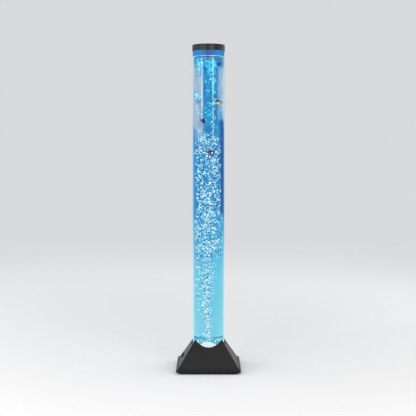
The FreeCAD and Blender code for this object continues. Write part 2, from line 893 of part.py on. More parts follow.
def pump_coil():
    """Copper winding between two flanges round the middle leg."""
    start = core_start()
    bottom = block_floor + core_leg + running_gap
    top = block_floor + core_height - 0.5
    gap = running_gap

    def layer(margin, z0, z1):
        body = box(
            start - margin, start + core_length + margin, -core_leg - margin, core_leg + margin, z0, z1)
        upright = [edge for edge in body.Edges if edge.BoundBox.ZLength > (z1 - z0) / 2]
        return body.makeFillet(min(margin, 3) * 0.8, upright)

    coil = fused([
        layer(coil_margin, bottom, bottom + 1), layer(coil_margin - 0.9, bottom, top),
        layer(coil_margin, top - 1, top),
    ])
    leg = box(start - gap, start + core_length + gap, -core_leg - gap, core_leg + gap, bottom, top)
    return coil.cut(leg)


# Rocker switch and power socket

def switch_body():
    half_width = bezel_width / 2
    half_length = bezel_length / 2
    bezel = box(-half_width, half_width, -half_length, half_length, 0, bezel_proud)
    upright = [edge for edge in bezel.Edges if edge.BoundBox.ZLength > bezel_proud / 2]
    bezel = bezel.makeFillet(1, upright)
    outer_edges = [edge for edge in bezel.Edges if edge.BoundBox.ZMin > bezel_proud - 0.01]
    bezel = bezel.makeFillet(0.5, outer_edges)
    body = box(
        -half_width + bezel_rim, half_width - bezel_rim, -half_length + bezel_rim,
        half_length - bezel_rim, -switch_body_depth, 0.5)
    tabs = []
    for index in range(2):
        y = 3.2 * (2 * index - 1)
        tabs.append(box(-2, 2, y - 0.4, y + 0.4, -switch_body_depth - 5, -switch_body_depth + 1))
    whole = fused([bezel, body] + tabs)
    pocket_width = rocker_width / 2 + running_gap
    pocket = box(
        -pocket_width, pocket_width, -rocker_radius - slip_gap, rocker_radius + slip_gap,
        rocker_pivot - rocker_radius - slip_gap, bezel_proud + 1)
    pin_reach = rocker_width / 2 + rocker_pin_length + running_gap
    pins = Part.makeCylinder(
        rocker_pin_radius + running_gap, 2 * pin_reach, V(-pin_reach, 0, rocker_pivot), V(1, 0, 0))
    return placed(cut_all(whole, [pocket, pins]), switch_frame)


def switch_rocker():
    """A dished rocker, tilted to the position in which it rests."""
    half = rocker_width / 2
    drum = Part.makeCylinder(rocker_radius, rocker_width, V(-half, 0, 0), V(1, 0, 0))
    reach = rocker_radius + 1
    end_height = rocker_proud - rocker_pivot
    bottom = slip_gap - rocker_radius / 2
    outline = [
        V(-half, -reach, end_height + 0.3), V(-half, 0, end_height - rocker_dish),
        V(-half, reach, end_height + 0.3), V(-half, reach, bottom), V(-half, -reach, bottom),
    ]
    wedge = Part.Face(Part.makePolygon(outline + [outline[0]])).extrude(V(rocker_width, 0, 0))
    rocker = drum.common(wedge)
    pin_reach = half + rocker_pin_length
    pins = Part.makeCylinder(rocker_pin_radius, 2 * pin_reach, V(-pin_reach, 0, 0), V(1, 0, 0))
    rocker = fused([rocker, pins])
    rocker.rotate(V(0, 0, 0), V(1, 0, 0), rocker_tilt)
    rocker.translate(V(0, 0, rocker_pivot))
    return placed(rocker, switch_frame)


def power_socket():
    pieces = turned([
        (0, -socket_depth), (socket_radius, -socket_depth), (socket_radius, 0),
        (socket_flange_radius, 0), (socket_flange_radius, socket_flange_height - 0.5),
        (socket_flange_radius - 0.5, socket_flange_height), (0, socket_flange_height),
    ])
    well = cylinder(socket_bore, 3 - socket_depth, socket_flange_height)
    pin = cylinder(socket_pin_radius, 2 - socket_depth, socket_flange_height - 2)
    return placed(pieces.cut(well).fuse(pin), socket_frame)


def socket_nut():
    corners = []
    for index in range(6):
        angle = math.radians(60 * index)
        corners.append(V(socket_nut_radius * math.cos(angle), socket_nut_radius * math.sin(angle), 0))
    blank = Part.Face(Part.makePolygon(corners + [corners[0]])).extrude(V(0, 0, -2.5))
    blank = blank.cut(cylinder(socket_radius + running_gap, -2.5, 0))
    blank.translate(V(0, 0, -cover_wall))
    return placed(blank, socket_frame)


# Cap

def top_cap():
    outside = tube_radius + cap_gap + cap_wall
    skirt_inside = tube_radius + cap_gap
    skirt_bottom = cap_under - cap_skirt
    edge_top = cap_under + cap_top
    spigot_outside = tube_inside - slip_gap
    spigot_inside = spigot_outside - cap_spigot_wall
    spigot_bottom = cap_under - cap_spigot
    start = V(outside, 0, skirt_bottom)
    corner_low = V(outside, 0, edge_top - cap_edge)
    corner_mid = V(
        outside - cap_edge * (1 - math.sqrt(0.5)), 0, edge_top - cap_edge * (1 - math.sqrt(0.5)))
    corner_high = V(outside - cap_edge, 0, edge_top)
    dome_reach = outside - cap_edge
    dome_radius = (dome_reach ** 2 + cap_dome ** 2) / (2 * cap_dome)
    half_angle = math.asin(dome_reach / dome_radius) / 2
    crown = V(0, 0, total_height)
    crown_mid = crown + V(math.sin(half_angle), 0, math.cos(half_angle) - 1) * dome_radius
    inner = [
        V(0, 0, cap_under), V(spigot_inside, 0, cap_under), V(spigot_inside, 0, spigot_bottom),
        V(spigot_outside, 0, spigot_bottom + 1), V(spigot_outside, 0, cap_under),
        V(skirt_inside, 0, cap_under), V(skirt_inside, 0, skirt_bottom), start,
    ]
    edges = [line(start, corner_low), arc(corner_low, corner_mid, corner_high)]
    edges.append(arc(corner_high, crown_mid, crown))
    edges.append(line(crown, inner[0]))
    for begin, end in zip(inner[:-1], inner[1:]):
        edges.append(line(begin, end))
    return Part.Face(Part.Wire(edges)).revolve(V(0, 0, 0), V(0, 0, 1), 360)


def cap_seal():
    return ring(
        tube_inside - slip_gap + running_gap, tube_radius, cap_under - cap_seal_thickness, cap_under)


# Fish

def fish_section(x, depth, thickness):
    centre = V(x, 0, 0)
    return Part.Wire(Part.Ellipse(V(x, 0, depth / 2), V(x, thickness / 2, 0), centre).toShape())


def fin(points):
    """A thin upright fin from (x, z) points."""
    corners = [V(x, -fin_thickness / 2, z) for x, z in points]
    return Part.Face(Part.makePolygon(corners + [corners[0]])).extrude(V(0, fin_thickness, 0))


def fish(length, depth, thickness, tail_fork, bearing, from_wall, below_rim, heading, pitch):
    """One moulded fish, nose towards local +X. Its middle lies at a bearing about the tube's axis,
    in from the tube's wall and down from its rim."""
    body_length = 0.78 * length
    nose = length / 2
    sections = []
    for share in (0.02, 0.16, 0.38, 0.66, 0.98):
        fullness = math.sin(math.pi * share ** 0.8) ** 0.8
        along = nose - body_length * share
        taper = max(fullness, 0.16)
        sections.append(fish_section(along, depth * taper, thickness * taper))
    body = Part.makeLoft(sections, True, False)
    tail_root = nose - body_length * 0.92
    tail_end = -length / 2
    tail = fin([
        (tail_root, 0.07 * depth), (tail_end, 0.46 * depth), (tail_end + tail_fork, 0),
        (tail_end, -0.46 * depth), (tail_root, -0.07 * depth),
    ])
    back = nose - 0.3 * length
    top_fin = fin([
        (back, 0.36 * depth), (back - 0.08 * length, 0.68 * depth),
        (back - 0.34 * length, 0.56 * depth), (back - 0.36 * length, 0.2 * depth),
    ])
    belly_fin = fin([
        (back - 0.06 * length, -0.3 * depth), (back - 0.2 * length, -0.64 * depth),
        (back - 0.28 * length, -0.56 * depth), (back - 0.3 * length, -0.2 * depth),
    ])
    whole = body.multiFuse([tail, top_fin, belly_fin])
    whole.rotate(V(0, 0, 0), V(0, 1, 0), -pitch)
    whole.rotate(V(0, 0, 0), V(0, 0, 1), heading)
    place = FreeCAD.Rotation(V(0, 0, 1), bearing).multVec(V(tube_inside - from_wall, 0, 0))
    whole.translate(place + V(0, 0, tube_top - below_rim))
    return whole


parts = {
    "base_cover": base_cover(),
    "bottom_plate": bottom_plate(),
    "rubber_feet": rubber_feet(),
    "cover_screws": cover_screws(),
    "seat_screws": seat_screws(),
    "tube_seat": tube_seat(),
    "tube_gasket": tube_gasket(),
    "acrylic_tube": acrylic_tube(),
    "tube_floor": tube_floor(),
    "air_nozzle": air_nozzle(),
    "nozzle_seal": nozzle_seal(),
    "nozzle_nut": nozzle_nut(),
    "lower_hose": lower_hose(),
    "upper_hose": upper_hose(),
    "valve_inlet": valve_inlet(),
    "valve_outlet": valve_outlet(),
    "valve_disc": valve_disc(),
    "led_board": led_board(),
    "led_lamps": led_lamps(),
    "led_board_screws": led_board_screws(),
    "control_board": control_board(),
    "board_screws": board_screws(),
    "board_capacitors": board_capacitors(),
    "board_chips": board_chips(),
    "board_sockets": board_sockets(),
    "pump_case": pump_case(),
    "pump_lid": pump_lid(),
    "pump_pads": pump_pads(),
    "pump_valve_block": pump_valve_block(),
    "pump_bellows": pump_bellows(),
    "pump_arm": pump_arm(),
    "pump_magnet": pump_magnet(),
    "pump_pivot_pin": pump_pivot_pin(),
    "pump_core": pump_core(),
    "pump_coil": pump_coil(),
    "switch_body": switch_body(),
    "switch_rocker": switch_rocker(),
    "power_socket": power_socket(),
    "socket_nut": socket_nut(),
    "top_cap": top_cap(),
    "cap_seal": cap_seal(),
    "brown_fish": fish(30, 13, 6.5, 3, 3.8, 15.9, 171, 165, 4),
    "purple_fish": fish(27, 14, 7, 2, 203.4, 26.3, 230, 50, -6),
    "red_fish": fish(36, 12, 6.5, 4, 59, 23.2, 331, 180, 8),
    "navy_fish": fish(25, 12, 6, 2.5, 264.5, 15.4, 72, 12, -20),
    "dark_fish": fish(28, 13, 6, 3, 327.9, 7.0, 56, 60, 5),
    "blue_fish": fish(28, 11, 6, 3, 164.7, 12.3, 171, 60, 0),
}

os.makedirs("parts", exist_ok=True)
for name, shape in parts.items():
    shape.exportStep("parts/" + name + ".step")
    print(name, "valid" if shape.isValid() else "INVALID", len(shape.Solids), round(shape.Volume, 1))
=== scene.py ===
import math
import random

import bmesh
import bpy
from mathutils import Matrix, Vector


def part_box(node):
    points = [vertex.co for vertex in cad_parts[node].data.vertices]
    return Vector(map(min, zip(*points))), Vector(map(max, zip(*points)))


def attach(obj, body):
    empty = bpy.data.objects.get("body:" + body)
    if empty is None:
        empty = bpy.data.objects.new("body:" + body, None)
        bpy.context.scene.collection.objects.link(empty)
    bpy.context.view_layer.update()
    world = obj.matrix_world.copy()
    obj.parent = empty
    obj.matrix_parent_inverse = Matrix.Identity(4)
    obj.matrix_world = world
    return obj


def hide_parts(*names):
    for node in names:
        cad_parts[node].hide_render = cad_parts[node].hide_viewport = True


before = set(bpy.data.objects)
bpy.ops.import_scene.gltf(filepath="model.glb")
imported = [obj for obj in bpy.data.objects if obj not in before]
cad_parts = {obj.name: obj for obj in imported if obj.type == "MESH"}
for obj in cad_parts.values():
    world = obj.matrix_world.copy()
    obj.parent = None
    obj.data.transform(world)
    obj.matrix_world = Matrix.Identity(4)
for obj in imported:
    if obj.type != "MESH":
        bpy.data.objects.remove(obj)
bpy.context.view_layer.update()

bl_info = {
    "name": "Bubble Tube Lamp",
    "version": (1, 0, 0),
    "blender": (4, 5, 0),
    "location": "View3D > Sidebar > Bubble Lamp",
    "description": "Dresses a bubble tube floor lamp with water, bubbles, fish and finishes",
    "category": "Object",
}

# Places read from the solids, in metres
TUBE_LOW, TUBE_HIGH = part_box("acrylic_tube")
FLOOR_LOW, FLOOR_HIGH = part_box("tube_floor")
NOZZLE_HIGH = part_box("air_nozzle")[1]
TUBE_RADIUS = (TUBE_HIGH.x - TUBE_LOW.x) / 2
FLOOR_RADIUS = (FLOOR_HIGH.x - FLOOR_LOW.x) / 2

# Gaps that keep the water and the wall from touching what is round them, in metres
WATER_GAP = 0.0002
WALL_GAP = 0.00005
WATER_RADIUS = FLOOR_RADIUS - WATER_GAP
TUBE_WALL = TUBE_RADIUS - FLOOR_RADIUS - WALL_GAP

# Heights that the bubbles and the flecks in the water share, in metres
CROWD_FOOT = 0.400
CROWD_TOP = 0.735

FISH = ("brown_fish", "purple_fish", "red_fish", "navy_fish", "dark_fish", "blue_fish")

# Each fish's heading and pitch, in degrees
FISH_HEADINGS = {
    "brown_fish": (165, 4), "purple_fish": (50, -6), "red_fish": (180, 8),
    "navy_fish": (12, -20), "dark_fish": (60, 5), "blue_fish": (60, 0),
}

# Each fish's back, belly, tail and spots, and how strongly the spots show
FISH_COLOURS = {
    "brown_fish": ((0.045, 0.008, 0.006), (0.62, 0.46, 0.03), (0.08, 0.02, 0.02), (0.01, 0.0, 0.0), 0.8),
    "purple_fish": ((0.010, 0.000, 0.060), (0.05, 0.002, 0.06), (0.0, 0.05, 0.28), (0.0, 0.0, 0.02), 0.5),
    "red_fish": ((0.09, 0.0, 0.010), (0.17, 0.002, 0.020), (0.0, 0.22, 0.07), (0.0, 0.0, 0.008), 0.9),
    "navy_fish": ((0.0, 0.015, 0.26), (0.0, 0.05, 0.36), (0.0, 0.02, 0.28), (0.0, 0.0, 0.08), 0.4),
    "dark_fish": ((0.0, 0.015, 0.16), (0.0, 0.06, 0.30), (0.0, 0.02, 0.20), (0.0, 0.0, 0.05), 0.4),
    "blue_fish": ((0.0, 0.20, 0.56), (0.02, 0.32, 0.62), (0.0, 0.16, 0.50), (0.0, 0.05, 0.30), 0.4),
}


# Shader arithmetic

class Num:
    """A number that a material works out at each point. Arithmetic on it adds Math nodes."""

    def __init__(self, paint, socket):
        self.paint = paint
        self.socket = socket

    def __add__(self, other):
        return self.paint.math("ADD", self, other)

    __radd__ = __add__

    def __sub__(self, other):
        return self.paint.math("SUBTRACT", self, other)

    def __rsub__(self, other):
        return self.paint.math("SUBTRACT", other, self)

    def __mul__(self, other):
        return self.paint.math("MULTIPLY", self, other)

    __rmul__ = __mul__

    def __truediv__(self, other):
        return self.paint.math("DIVIDE", self, other)

    def __pow__(self, other):
        return self.paint.math("POWER", self, other)

    def __abs__(self):
        return self.paint.math("ABSOLUTE", self)

    def clamped(self):
        return self.paint.math("ADD", self, 0.0, clamp=True)

    def rise(self, start, end):
        """0 below start and 1 above end, eased between them; it falls if start is above end."""
        if start > end:
            return 1 - self.rise(end, start)
        inputs = {"Value": self, "From Min": start, "From Max": end}
        settings = {"interpolation_type": "SMOOTHSTEP"}
        return Num(self.paint, self.paint.node("ShaderNodeMapRange", settings, inputs).outputs[0])

    def band(self, low, high, edge):
        """1 between low and high, with soft edges."""
        return self.rise(low - edge, low + edge) * self.rise(high + edge, high - edge)


class Paint:
    """A material while it is being built."""

    def __init__(self, name):
        self.material = bpy.data.materials.new(name)
        self.material.use_nodes = True
        self.tree = self.material.node_tree
        self.tree.nodes.clear()
        self.output = self.node("ShaderNodeOutputMaterial")
        self.place = self.node("ShaderNodeTexCoord").outputs["Object"]
        self.x, self.y, self.z = self.split(self.place)

    def node(self, kind, settings=None, inputs=None):
        """Any node: its settings first, then a value or a link for each named socket."""
        made = self.tree.nodes.new(kind)
        for name, value in (settings or {}).items():
            if name == "stops":
                self.set_stops(made.color_ramp, value)
            else:
                setattr(made, name, value)
        for name, value in (inputs or {}).items():
            socket = made.inputs[name]
            value = value.socket if isinstance(value, Num) else value
            if isinstance(value, bpy.types.NodeSocket):
                self.tree.links.new(value, socket)
            elif isinstance(value, tuple) and len(value) == 3 and socket.type == "RGBA":
                socket.default_value = (*value, 1.0)
            else:
                socket.default_value = value
        return made

    def set_stops(self, ramp, stops):
        while len(ramp.elements) < len(stops):
            ramp.elements.new(1.0)
        for element, (position, colour) in zip(ramp.elements, stops):
            element.position = position
            element.color = (*colour, 1.0)

    def math(self, operation, first, second=None, clamp=False):
        inputs = {0: first} if second is None else {0: first, 1: second}
        settings = {"operation": operation, "use_clamp": clamp}
        return Num(self, self.node("ShaderNodeMath", settings, inputs).outputs[0])

    def split(self, vector):
        parts = self.node("ShaderNodeSeparateXYZ", None, {0: vector}).outputs
        return [Num(self, socket) for socket in parts]

    def scaled(self, scale):
        """Object coordinates scaled along each axis, which stretches or squeezes a pattern."""
        inputs = {"Vector": self.place, "Scale": scale}
        return self.node("ShaderNodeMapping", {"vector_type": "POINT"}, inputs).outputs[0]

    def from_axis(self):
        """How far each point is from the lamp's upright axis."""
        return (self.x * self.x + self.y * self.y) ** 0.5

    def on_axis(self, centre, heading, pitch):
        """Coordinates of a piece that lies at centre, turned by heading and pitched up."""
        moved = self.node(
            "ShaderNodeVectorMath", {"operation": "SUBTRACT"},
            {0: self.place, 1: tuple(centre)}).outputs[0]
        level = self.node(
            "ShaderNodeVectorRotate", {"rotation_type": "Z_AXIS"},
            {"Vector": moved, "Angle": math.radians(-heading)}).outputs[0]
        return self.node(
            "ShaderNodeVectorRotate", {"rotation_type": "Y_AXIS"},
            {"Vector": level, "Angle": math.radians(pitch)}).outputs[0]

    def noise(self, scale, detail=2.0, at=None):
        inputs = {"Vector": at or self.place, "Scale": scale, "Detail": detail}
        return Num(self, self.node("ShaderNodeTexNoise", None, inputs).outputs[0])

    def cells(self, scale, feature="F1", at=None):
        inputs = {"Vector": at or self.place, "Scale": scale}
        cell = self.node("ShaderNodeTexVoronoi", {"feature": feature}, inputs)
        return Num(self, cell.outputs["Distance"])

    def ramp(self, value, stops):
        return self.node("ShaderNodeValToRGB", {"stops": stops}, {0: value}).outputs[0]

    def blend(self, factor, first, second):
        """A colour between first and second."""
        settings = {"data_type": "RGBA"}
        return self.node("ShaderNodeMix", settings, {0: factor, 6: first, 7: second}).outputs[2]

    def bump(self, height, strength, distance):
        inputs = {"Height": height, "Strength": strength, "Distance": distance}
        return self.node("ShaderNodeBump", None, inputs).outputs[0]

    def principled(self, **inputs):
        named = {name.replace("_", " ").title().replace("Ior", "IOR"): v for name, v in inputs.items()}
        return self.node("ShaderNodeBsdfPrincipled", None, named).outputs[0]

    def clear(self, colour=(1.0, 1.0, 1.0)):
        return self.node("ShaderNodeBsdfTransparent", None, {"Color": colour}).outputs[0]

    def mixed(self, factor, first, second):
        return self.node("ShaderNodeMixShader", None, {0: factor, 1: first, 2: second}).outputs[0]

    def absorbs(self, colour, density):
        """Fills the piece with a liquid that swallows light."""
        liquid = self.node("ShaderNodeVolumeAbsorption", None, {"Color": colour, "Density": density})
        self.tree.links.new(liquid.outputs[0], self.output.inputs["Volume"])

    def facing(self):
        """0 where the surface faces the viewer and 1 where it is seen edge on."""
        weight = self.node("ShaderNodeLayerWeight", None, {"Blend": 0.5})
        return Num(self, weight.outputs["Facing"])

    def done(self, surface):
        self.tree.links.new(surface, self.output.inputs["Surface"])
        return self.material


# Modelling helpers

def start_fresh():
    if bpy.context.object and bpy.context.object.mode != "OBJECT":
        bpy.ops.object.mode_set(mode="OBJECT")
    bpy.ops.object.select_all(action="DESELECT")


def finish_piece(piece, name, body, slot, material, angle=35):
    """Names a piece, bakes its place into its mesh, smooths it and lets it ride on its body."""
    start_fresh()
    piece.name = name
    piece.data.name = name
    piece.select_set(True)
    bpy.context.view_layer.objects.active = piece
    bpy.ops.object.transform_apply(location=True, rotation=True, scale=True)
    bpy.ops.object.shade_smooth_by_angle(angle=math.radians(angle))
    piece.data.materials.clear()
    piece.data.materials.append(material)
    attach(piece, body)
    return piece


def pick_faces(piece, test):
    """Selects, in edit mode, the faces whose centre passes the test, and nothing else."""
    bpy.ops.mesh.select_all(action="DESELECT")
    mesh = bmesh.from_edit_mesh(piece.data)
    for face in mesh.faces:
        face.select_set(test(face.calc_center_median(), face.normal))
    mesh.select_flush(True)
    bmesh.update_edit_mesh(piece.data)


def apply_modifier(piece, kind, **settings):
    modifier = piece.modifiers.new(kind.title(), kind)
    for name, value in settings.items():
        setattr(modifier, name, value)
    bpy.context.view_layer.objects.active = piece
    bpy.ops.object.modifier_apply(modifier=modifier.name)


def dress(node, material):
    """Gives a solid its finish."""
    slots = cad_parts[node].data.materials
    slots.clear()
    slots.append(material)


# Finishes

def satin_plastic(name, colour, roughness, grain, gloss=0.5):
    """Moulded plastic with a fine spark-eroded grain."""
    paint = Paint(name)
    broad = paint.noise(9.0, 3.0)
    fine = paint.noise(1500.0, 2.0)
    tone = paint.blend(broad, tuple(0.85 * c for c in colour), tuple(1.2 * c for c in colour))
    return paint.done(paint.principled(
        base_color=tone, roughness=roughness + 0.08 * (broad - 0.5) + 0.06 * (fine - 0.5),
        normal=paint.bump(fine, grain, 0.0004), specular_ior_level=gloss))


def rubber(name, colour):
    paint = Paint(name)
    speckle = paint.noise(420.0, 3.0)
    tone = paint.blend(speckle, tuple(0.8 * c for c in colour), tuple(1.3 * c for c in colour))
    return paint.done(paint.principled(
        base_color=tone, roughness=0.72 + 0.1 * speckle, normal=paint.bump(speckle, 0.25, 0.0003)))


def acrylic_wall(water_level, glow):
    """Clear wall: a mirror outside, with a painted glow of the lit water where it is seen edge on and
    above the water.
    """
    paint = Paint("clear_acrylic_wall")
    skin = 0.0008
    outside = paint.from_axis().rise(TUBE_RADIUS - 1.5 * skin, TUBE_RADIUS - skin)
    facing = paint.facing()
    above = paint.z.rise(water_level - 0.0005, water_level + 0.0005)
    head_on, edge_on = 0.019, 0.28
    mirror = (head_on + edge_on * facing ** 5.0) * outside * (1 - 0.7 * above)
    scuffs = paint.noise(60.0, 4.0)
    gloss = paint.node(
        "ShaderNodeBsdfGlossy", None,
        {"Color": (1.0, 1.0, 1.0), "Roughness": 0.05 + 0.05 * scuffs.rise(0.55, 0.8)}).outputs[0]
    # Painted glow of the lit water seen edge on through the wall, by height: cyan on the left, deeper
    # navy on the right
    height = paint.z / water_level
    left = paint.ramp(height, [
        (0.08, (0.40, 0.80, 0.85)), (0.36, (0.24, 0.66, 0.76)), (0.50, (0.00, 0.28, 0.58)),
        (0.74, (0.00, 0.26, 0.56)), (0.84, (0.20, 0.52, 0.66)), (1.0, (0.42, 0.56, 0.68)),
    ])
    right = paint.ramp(height, [
        (0.08, (0.40, 0.80, 0.85)), (0.36, (0.22, 0.62, 0.74)), (0.50, (0.00, 0.14, 0.42)),
        (0.76, (0.00, 0.10, 0.36)), (0.84, (0.26, 0.44, 0.58)), (1.0, (0.20, 0.34, 0.52)),
    ])
    # Painted glow above the water: navy in the middle, brighter blue beside it
    ripple = paint.noise(70.0, 3.0, at=paint.scaled((1.0, 1.0, 4.0)))
    beside = (abs(paint.x) + 0.03 * (ripple - 0.5)).rise(0.008, 0.026)
    painted_glow_above = paint.blend(beside, (0.0, 0.030, 0.190), (0.0, 0.150, 0.420))
    painted_edge_glow = paint.blend(paint.x.rise(-0.02, 0.02), left, right)
    tint = paint.blend(above, painted_edge_glow, painted_glow_above)
    light = paint.principled(
        base_color=(0.02, 0.08, 0.16), roughness=0.2, specular_ior_level=0.0,
        emission_color=tint, emission_strength=glow)
    # How much painted glow shows: above the water and where the wall is seen edge on
    painted_glow_share = (above * 0.94 + facing.rise(0.62, 0.70) * 0.88).clamped() * outside
    wall = paint.mixed(painted_glow_share, paint.clear((0.97, 0.985, 0.99)), light)
    return paint.done(paint.mixed(mirror.clamped(), wall, gloss))


def painted_glow_by_height(paint, height, clumps):
    """Painted glow of the light from below: pale at the foot and deep blue half way up, with darker
    clumps of painted shade, and where those clumps are.
    """
    drift = paint.noise(14.0, 3.0, at=paint.scaled((1.0, 1.0, 0.35)))
    colour = paint.ramp(height + 0.05 * (drift - 0.5), [
        (0.0, (0.80, 0.95, 0.96)), (0.05, (0.30, 0.70, 0.73)), (0.25, (0.23, 0.64, 0.71)),
        (0.36, (0.13, 0.51, 0.65)), (0.48, (0.03, 0.38, 0.58)), (0.60, (0.01, 0.33, 0.54)),
        (0.74, (0.01, 0.31, 0.50)), (1.0, (0.01, 0.27, 0.44)),
    ])
    # Painted shade: darker clumps higher up
    shade = clumps.rise(0.55, 0.42) * height.rise(0.25, 0.50)
    return paint.blend(shade * 0.5, colour, (0.0, 0.08, 0.34)), shade


def add_flecks(paint, colour):
    """Far bubbles painted on the water: bright flecks as painted glints and dark flecks as painted shade,
    in the crowd, up the plume and near the surface.
    """
    flat = paint.scaled((1.0, 1.0, 0.7))
    cell = paint.node("ShaderNodeTexVoronoi", None, {"Vector": flat, "Scale": 135.0})
    pick = paint.split(cell.outputs["Color"])[0]
    crowd = paint.z.band(CROWD_FOOT - 0.05, CROWD_TOP, 0.02)
    splashes = paint.z.band(0.905, 0.968, 0.006)
    plume = abs(paint.x + 0.003).rise(0.017, 0.009) * paint.z.band(0.13, CROWD_FOOT - 0.04, 0.01)
    fleck = Num(paint, cell.outputs["Distance"]).rise(0.40, 0.31) * (crowd + splashes + plume)
    bright = paint.blend(paint.z.rise(0.74, 0.80), (0.62, 0.92, 0.98), (0.0, 0.62, 0.86))
    # Painted glints on the bright flecks, then painted shade on the dark ones
    colour = paint.blend((fleck * pick.rise(0.56, 0.58)).clamped(), colour, bright)
    return paint.blend((fleck * pick.rise(0.34, 0.32)).clamped(), colour, (0.0, 0.08, 0.32))


def add_painted_room_light(paint, colour, shade):
    """Two pale upright panels of painted room light on the clearer water near the top."""
    left = paint.x.rise(-0.014, -0.021) * paint.z.band(0.740, 0.955, 0.016)
    right = paint.x.rise(0.031, 0.035) * paint.z.band(0.815, 0.945, 0.006)
    # Painted room light, weaker where the painted shade clumps are
    panel = (left + 0.80 * right) * (0.90 - 0.40 * shade)
    return paint.blend(panel.clamped(), colour, (0.56, 0.51, 0.51))


def add_painted_rims(paint, colour):
    """A painted blue rim of light on the left and a painted navy rim of shade on the right, and how dense
    the water looks there.
    """
    edge = paint.facing().rise(0.22, 0.55)
    # Painted light on the left rim and painted shade on the right rim, where the water is seen edge on
    blue = edge * paint.x.rise(-0.026, -0.038) * paint.z.band(0.49, 0.76, 0.03)
    navy = edge * paint.x.rise(0.031, 0.036) * paint.z.band(0.49, 0.79, 0.012)
    colour = paint.blend(blue, colour, (0.01, 0.26, 0.56))
    colour = paint.blend(navy, colour, (0.0, 0.05, 0.24))
    near_rim = edge * abs(paint.x).rise(0.026, 0.036) * paint.z.rise(0.80, 0.75)
    return colour, (0.15 + 0.65 * navy) * near_rim


def add_foot(paint, colour, clumps):
    """Painted light at the tube's foot: teal glow with painted glints under a painted dark line of shade,
    with a painted white crescent of glow below, and where that foot is.
    """
    foot_top, line_foot, line_top = 0.1075, 0.1045, 0.1085
    foot = paint.z.rise(foot_top + 0.001, foot_top - 0.001) * paint.y.rise(0.006, -0.010)
    # Painted glints in the teal glow
    glints = paint.cells(125.0, at=paint.scaled((1.0, 1.0, 1.7))) + 0.5 * (clumps - 0.5)
    painted_foot_light = paint.blend(glints.rise(0.32, 0.38), (0.88, 0.98, 0.96), (0.03, 0.42, 0.50))
    # Painted white crescent of glow low at the front
    crescent_glow_edge = paint.z + 10.0 * paint.x * paint.x + 0.020 * (clumps - 0.5)
    painted_foot_light = paint.blend(crescent_glow_edge.rise(0.0920, 0.0895), painted_foot_light, (0.82, 0.86, 0.87))
    # Painted dark line of shade at the top of the foot
    sagging = paint.z + 2.0 * paint.x * paint.x
    line = sagging.band(line_foot, line_top, 0.0008) * abs(paint.x + 0.002).rise(0.004, 0.009)
    painted_foot_light = paint.blend(line, painted_foot_light, (0.02, 0.22, 0.38))
    return paint.blend(foot, colour, painted_foot_light), foot


def water_light(water_level, glow):
    """Clear blue water whose rear catches the light."""
    paint = Paint("lit_water")
    height = (paint.z - FLOOR_HIGH.z) / (water_level - FLOOR_HIGH.z)
    clumps = paint.noise(55.0, 4.0, at=paint.scaled((1.0, 1.0, 0.5)))
    colour, shade = painted_glow_by_height(paint, height, clumps)
    colour = add_flecks(paint, colour)
    colour = add_painted_room_light(paint, colour, shade)
    colour, rim_haze = add_painted_rims(paint, colour)
    colour, foot = add_foot(paint, colour, clumps)
    rear = paint.y.rise(-0.012, 0.022)
    haze = 0.015 + 0.95 * rear + rim_haze + 0.85 * foot
    lit = paint.principled(
        base_color=(0.01, 0.05, 0.10), roughness=0.6, specular_ior_level=0.0,
        emission_color=colour, emission_strength=glow)
    paint.absorbs((0.01, 0.69, 0.94), 6.0)
    return paint.done(paint.mixed(haze.clamped(), paint.clear(), lit))


def bubble_glow_paint(name, low, high, glow):
    """Glowing bubbles of mixed tones, each list of colours running from dark to bright, with painted
    shade darkening their rims.
    """
    paint = Paint(name)
    cell = paint.node("ShaderNodeTexVoronoi", None, {"Vector": paint.place, "Scale": 230.0})
    pick = paint.split(cell.outputs["Color"])[0]
    lit_up = paint.blend(pick.rise(0.70, 0.80), high[1], high[2])
    up = paint.blend(pick.rise(0.35, 0.45), high[0], lit_up)
    lit_down = paint.blend(pick.rise(0.50, 0.56), low[1], low[2])
    down = paint.blend(pick.rise(0.38, 0.42), low[0], lit_down)
    # Painted glow that turns from the lower tones to the upper tones near the top
    middle = paint.blend(paint.z.rise(0.70, 0.78), down, up)
    # Painted shade on the rims seen edge on
    rim = paint.facing().rise(0.45, 0.98)
    tone = paint.blend(rim * 0.7, middle, low[0])
    return paint.done(paint.principled(
        base_color=(0.02, 0.08, 0.12), roughness=0.12, specular_ior_level=0.08,
        emission_color=tone, emission_strength=glow))


def fish_paint(name, back, belly, tail, spots, spot_share):
    """Painted fish: back over belly, a coloured tail, spots and scales, with a faint painted glow."""
    paint = Paint(name + "_paint")
    low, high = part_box(name)
    heading, pitch = FISH_HEADINGS[name]
    axes = paint.split(paint.on_axis((low + high) / 2, heading, pitch))
    along, up = axes[0], axes[2]
    ragged = paint.noise(240.0, 3.0) - 0.5
    half = (high.z - low.z) / 2
    colour = paint.blend((up + 0.004 * ragged).rise(-0.30 * half, 0.02 * half), belly, back)
    colour = paint.blend((along + 0.003 * ragged).rise(-0.0055, -0.0085), colour, tail)
    spotted = paint.cells(330.0).rise(0.42, 0.30) * paint.noise(120.0).rise(0.5, 0.56)
    colour = paint.blend(spotted * spot_share, colour, spots)
    rays = paint.math("SINE", (along + 0.4 * up) * 5200.0)
    scales = paint.cells(900.0, "DISTANCE_TO_EDGE")
    relief = scales.rise(0.0, 0.25) + 0.25 * rays * along.rise(-0.006, -0.009)
    # A faint painted glow lightens the fish
    return paint.done(paint.principled(
        base_color=colour, roughness=0.45 - 0.08 * scales, specular_ior_level=0.15,
        emission_color=colour, emission_strength=0.25,
        normal=paint.bump(relief, 0.35, 0.0003)))


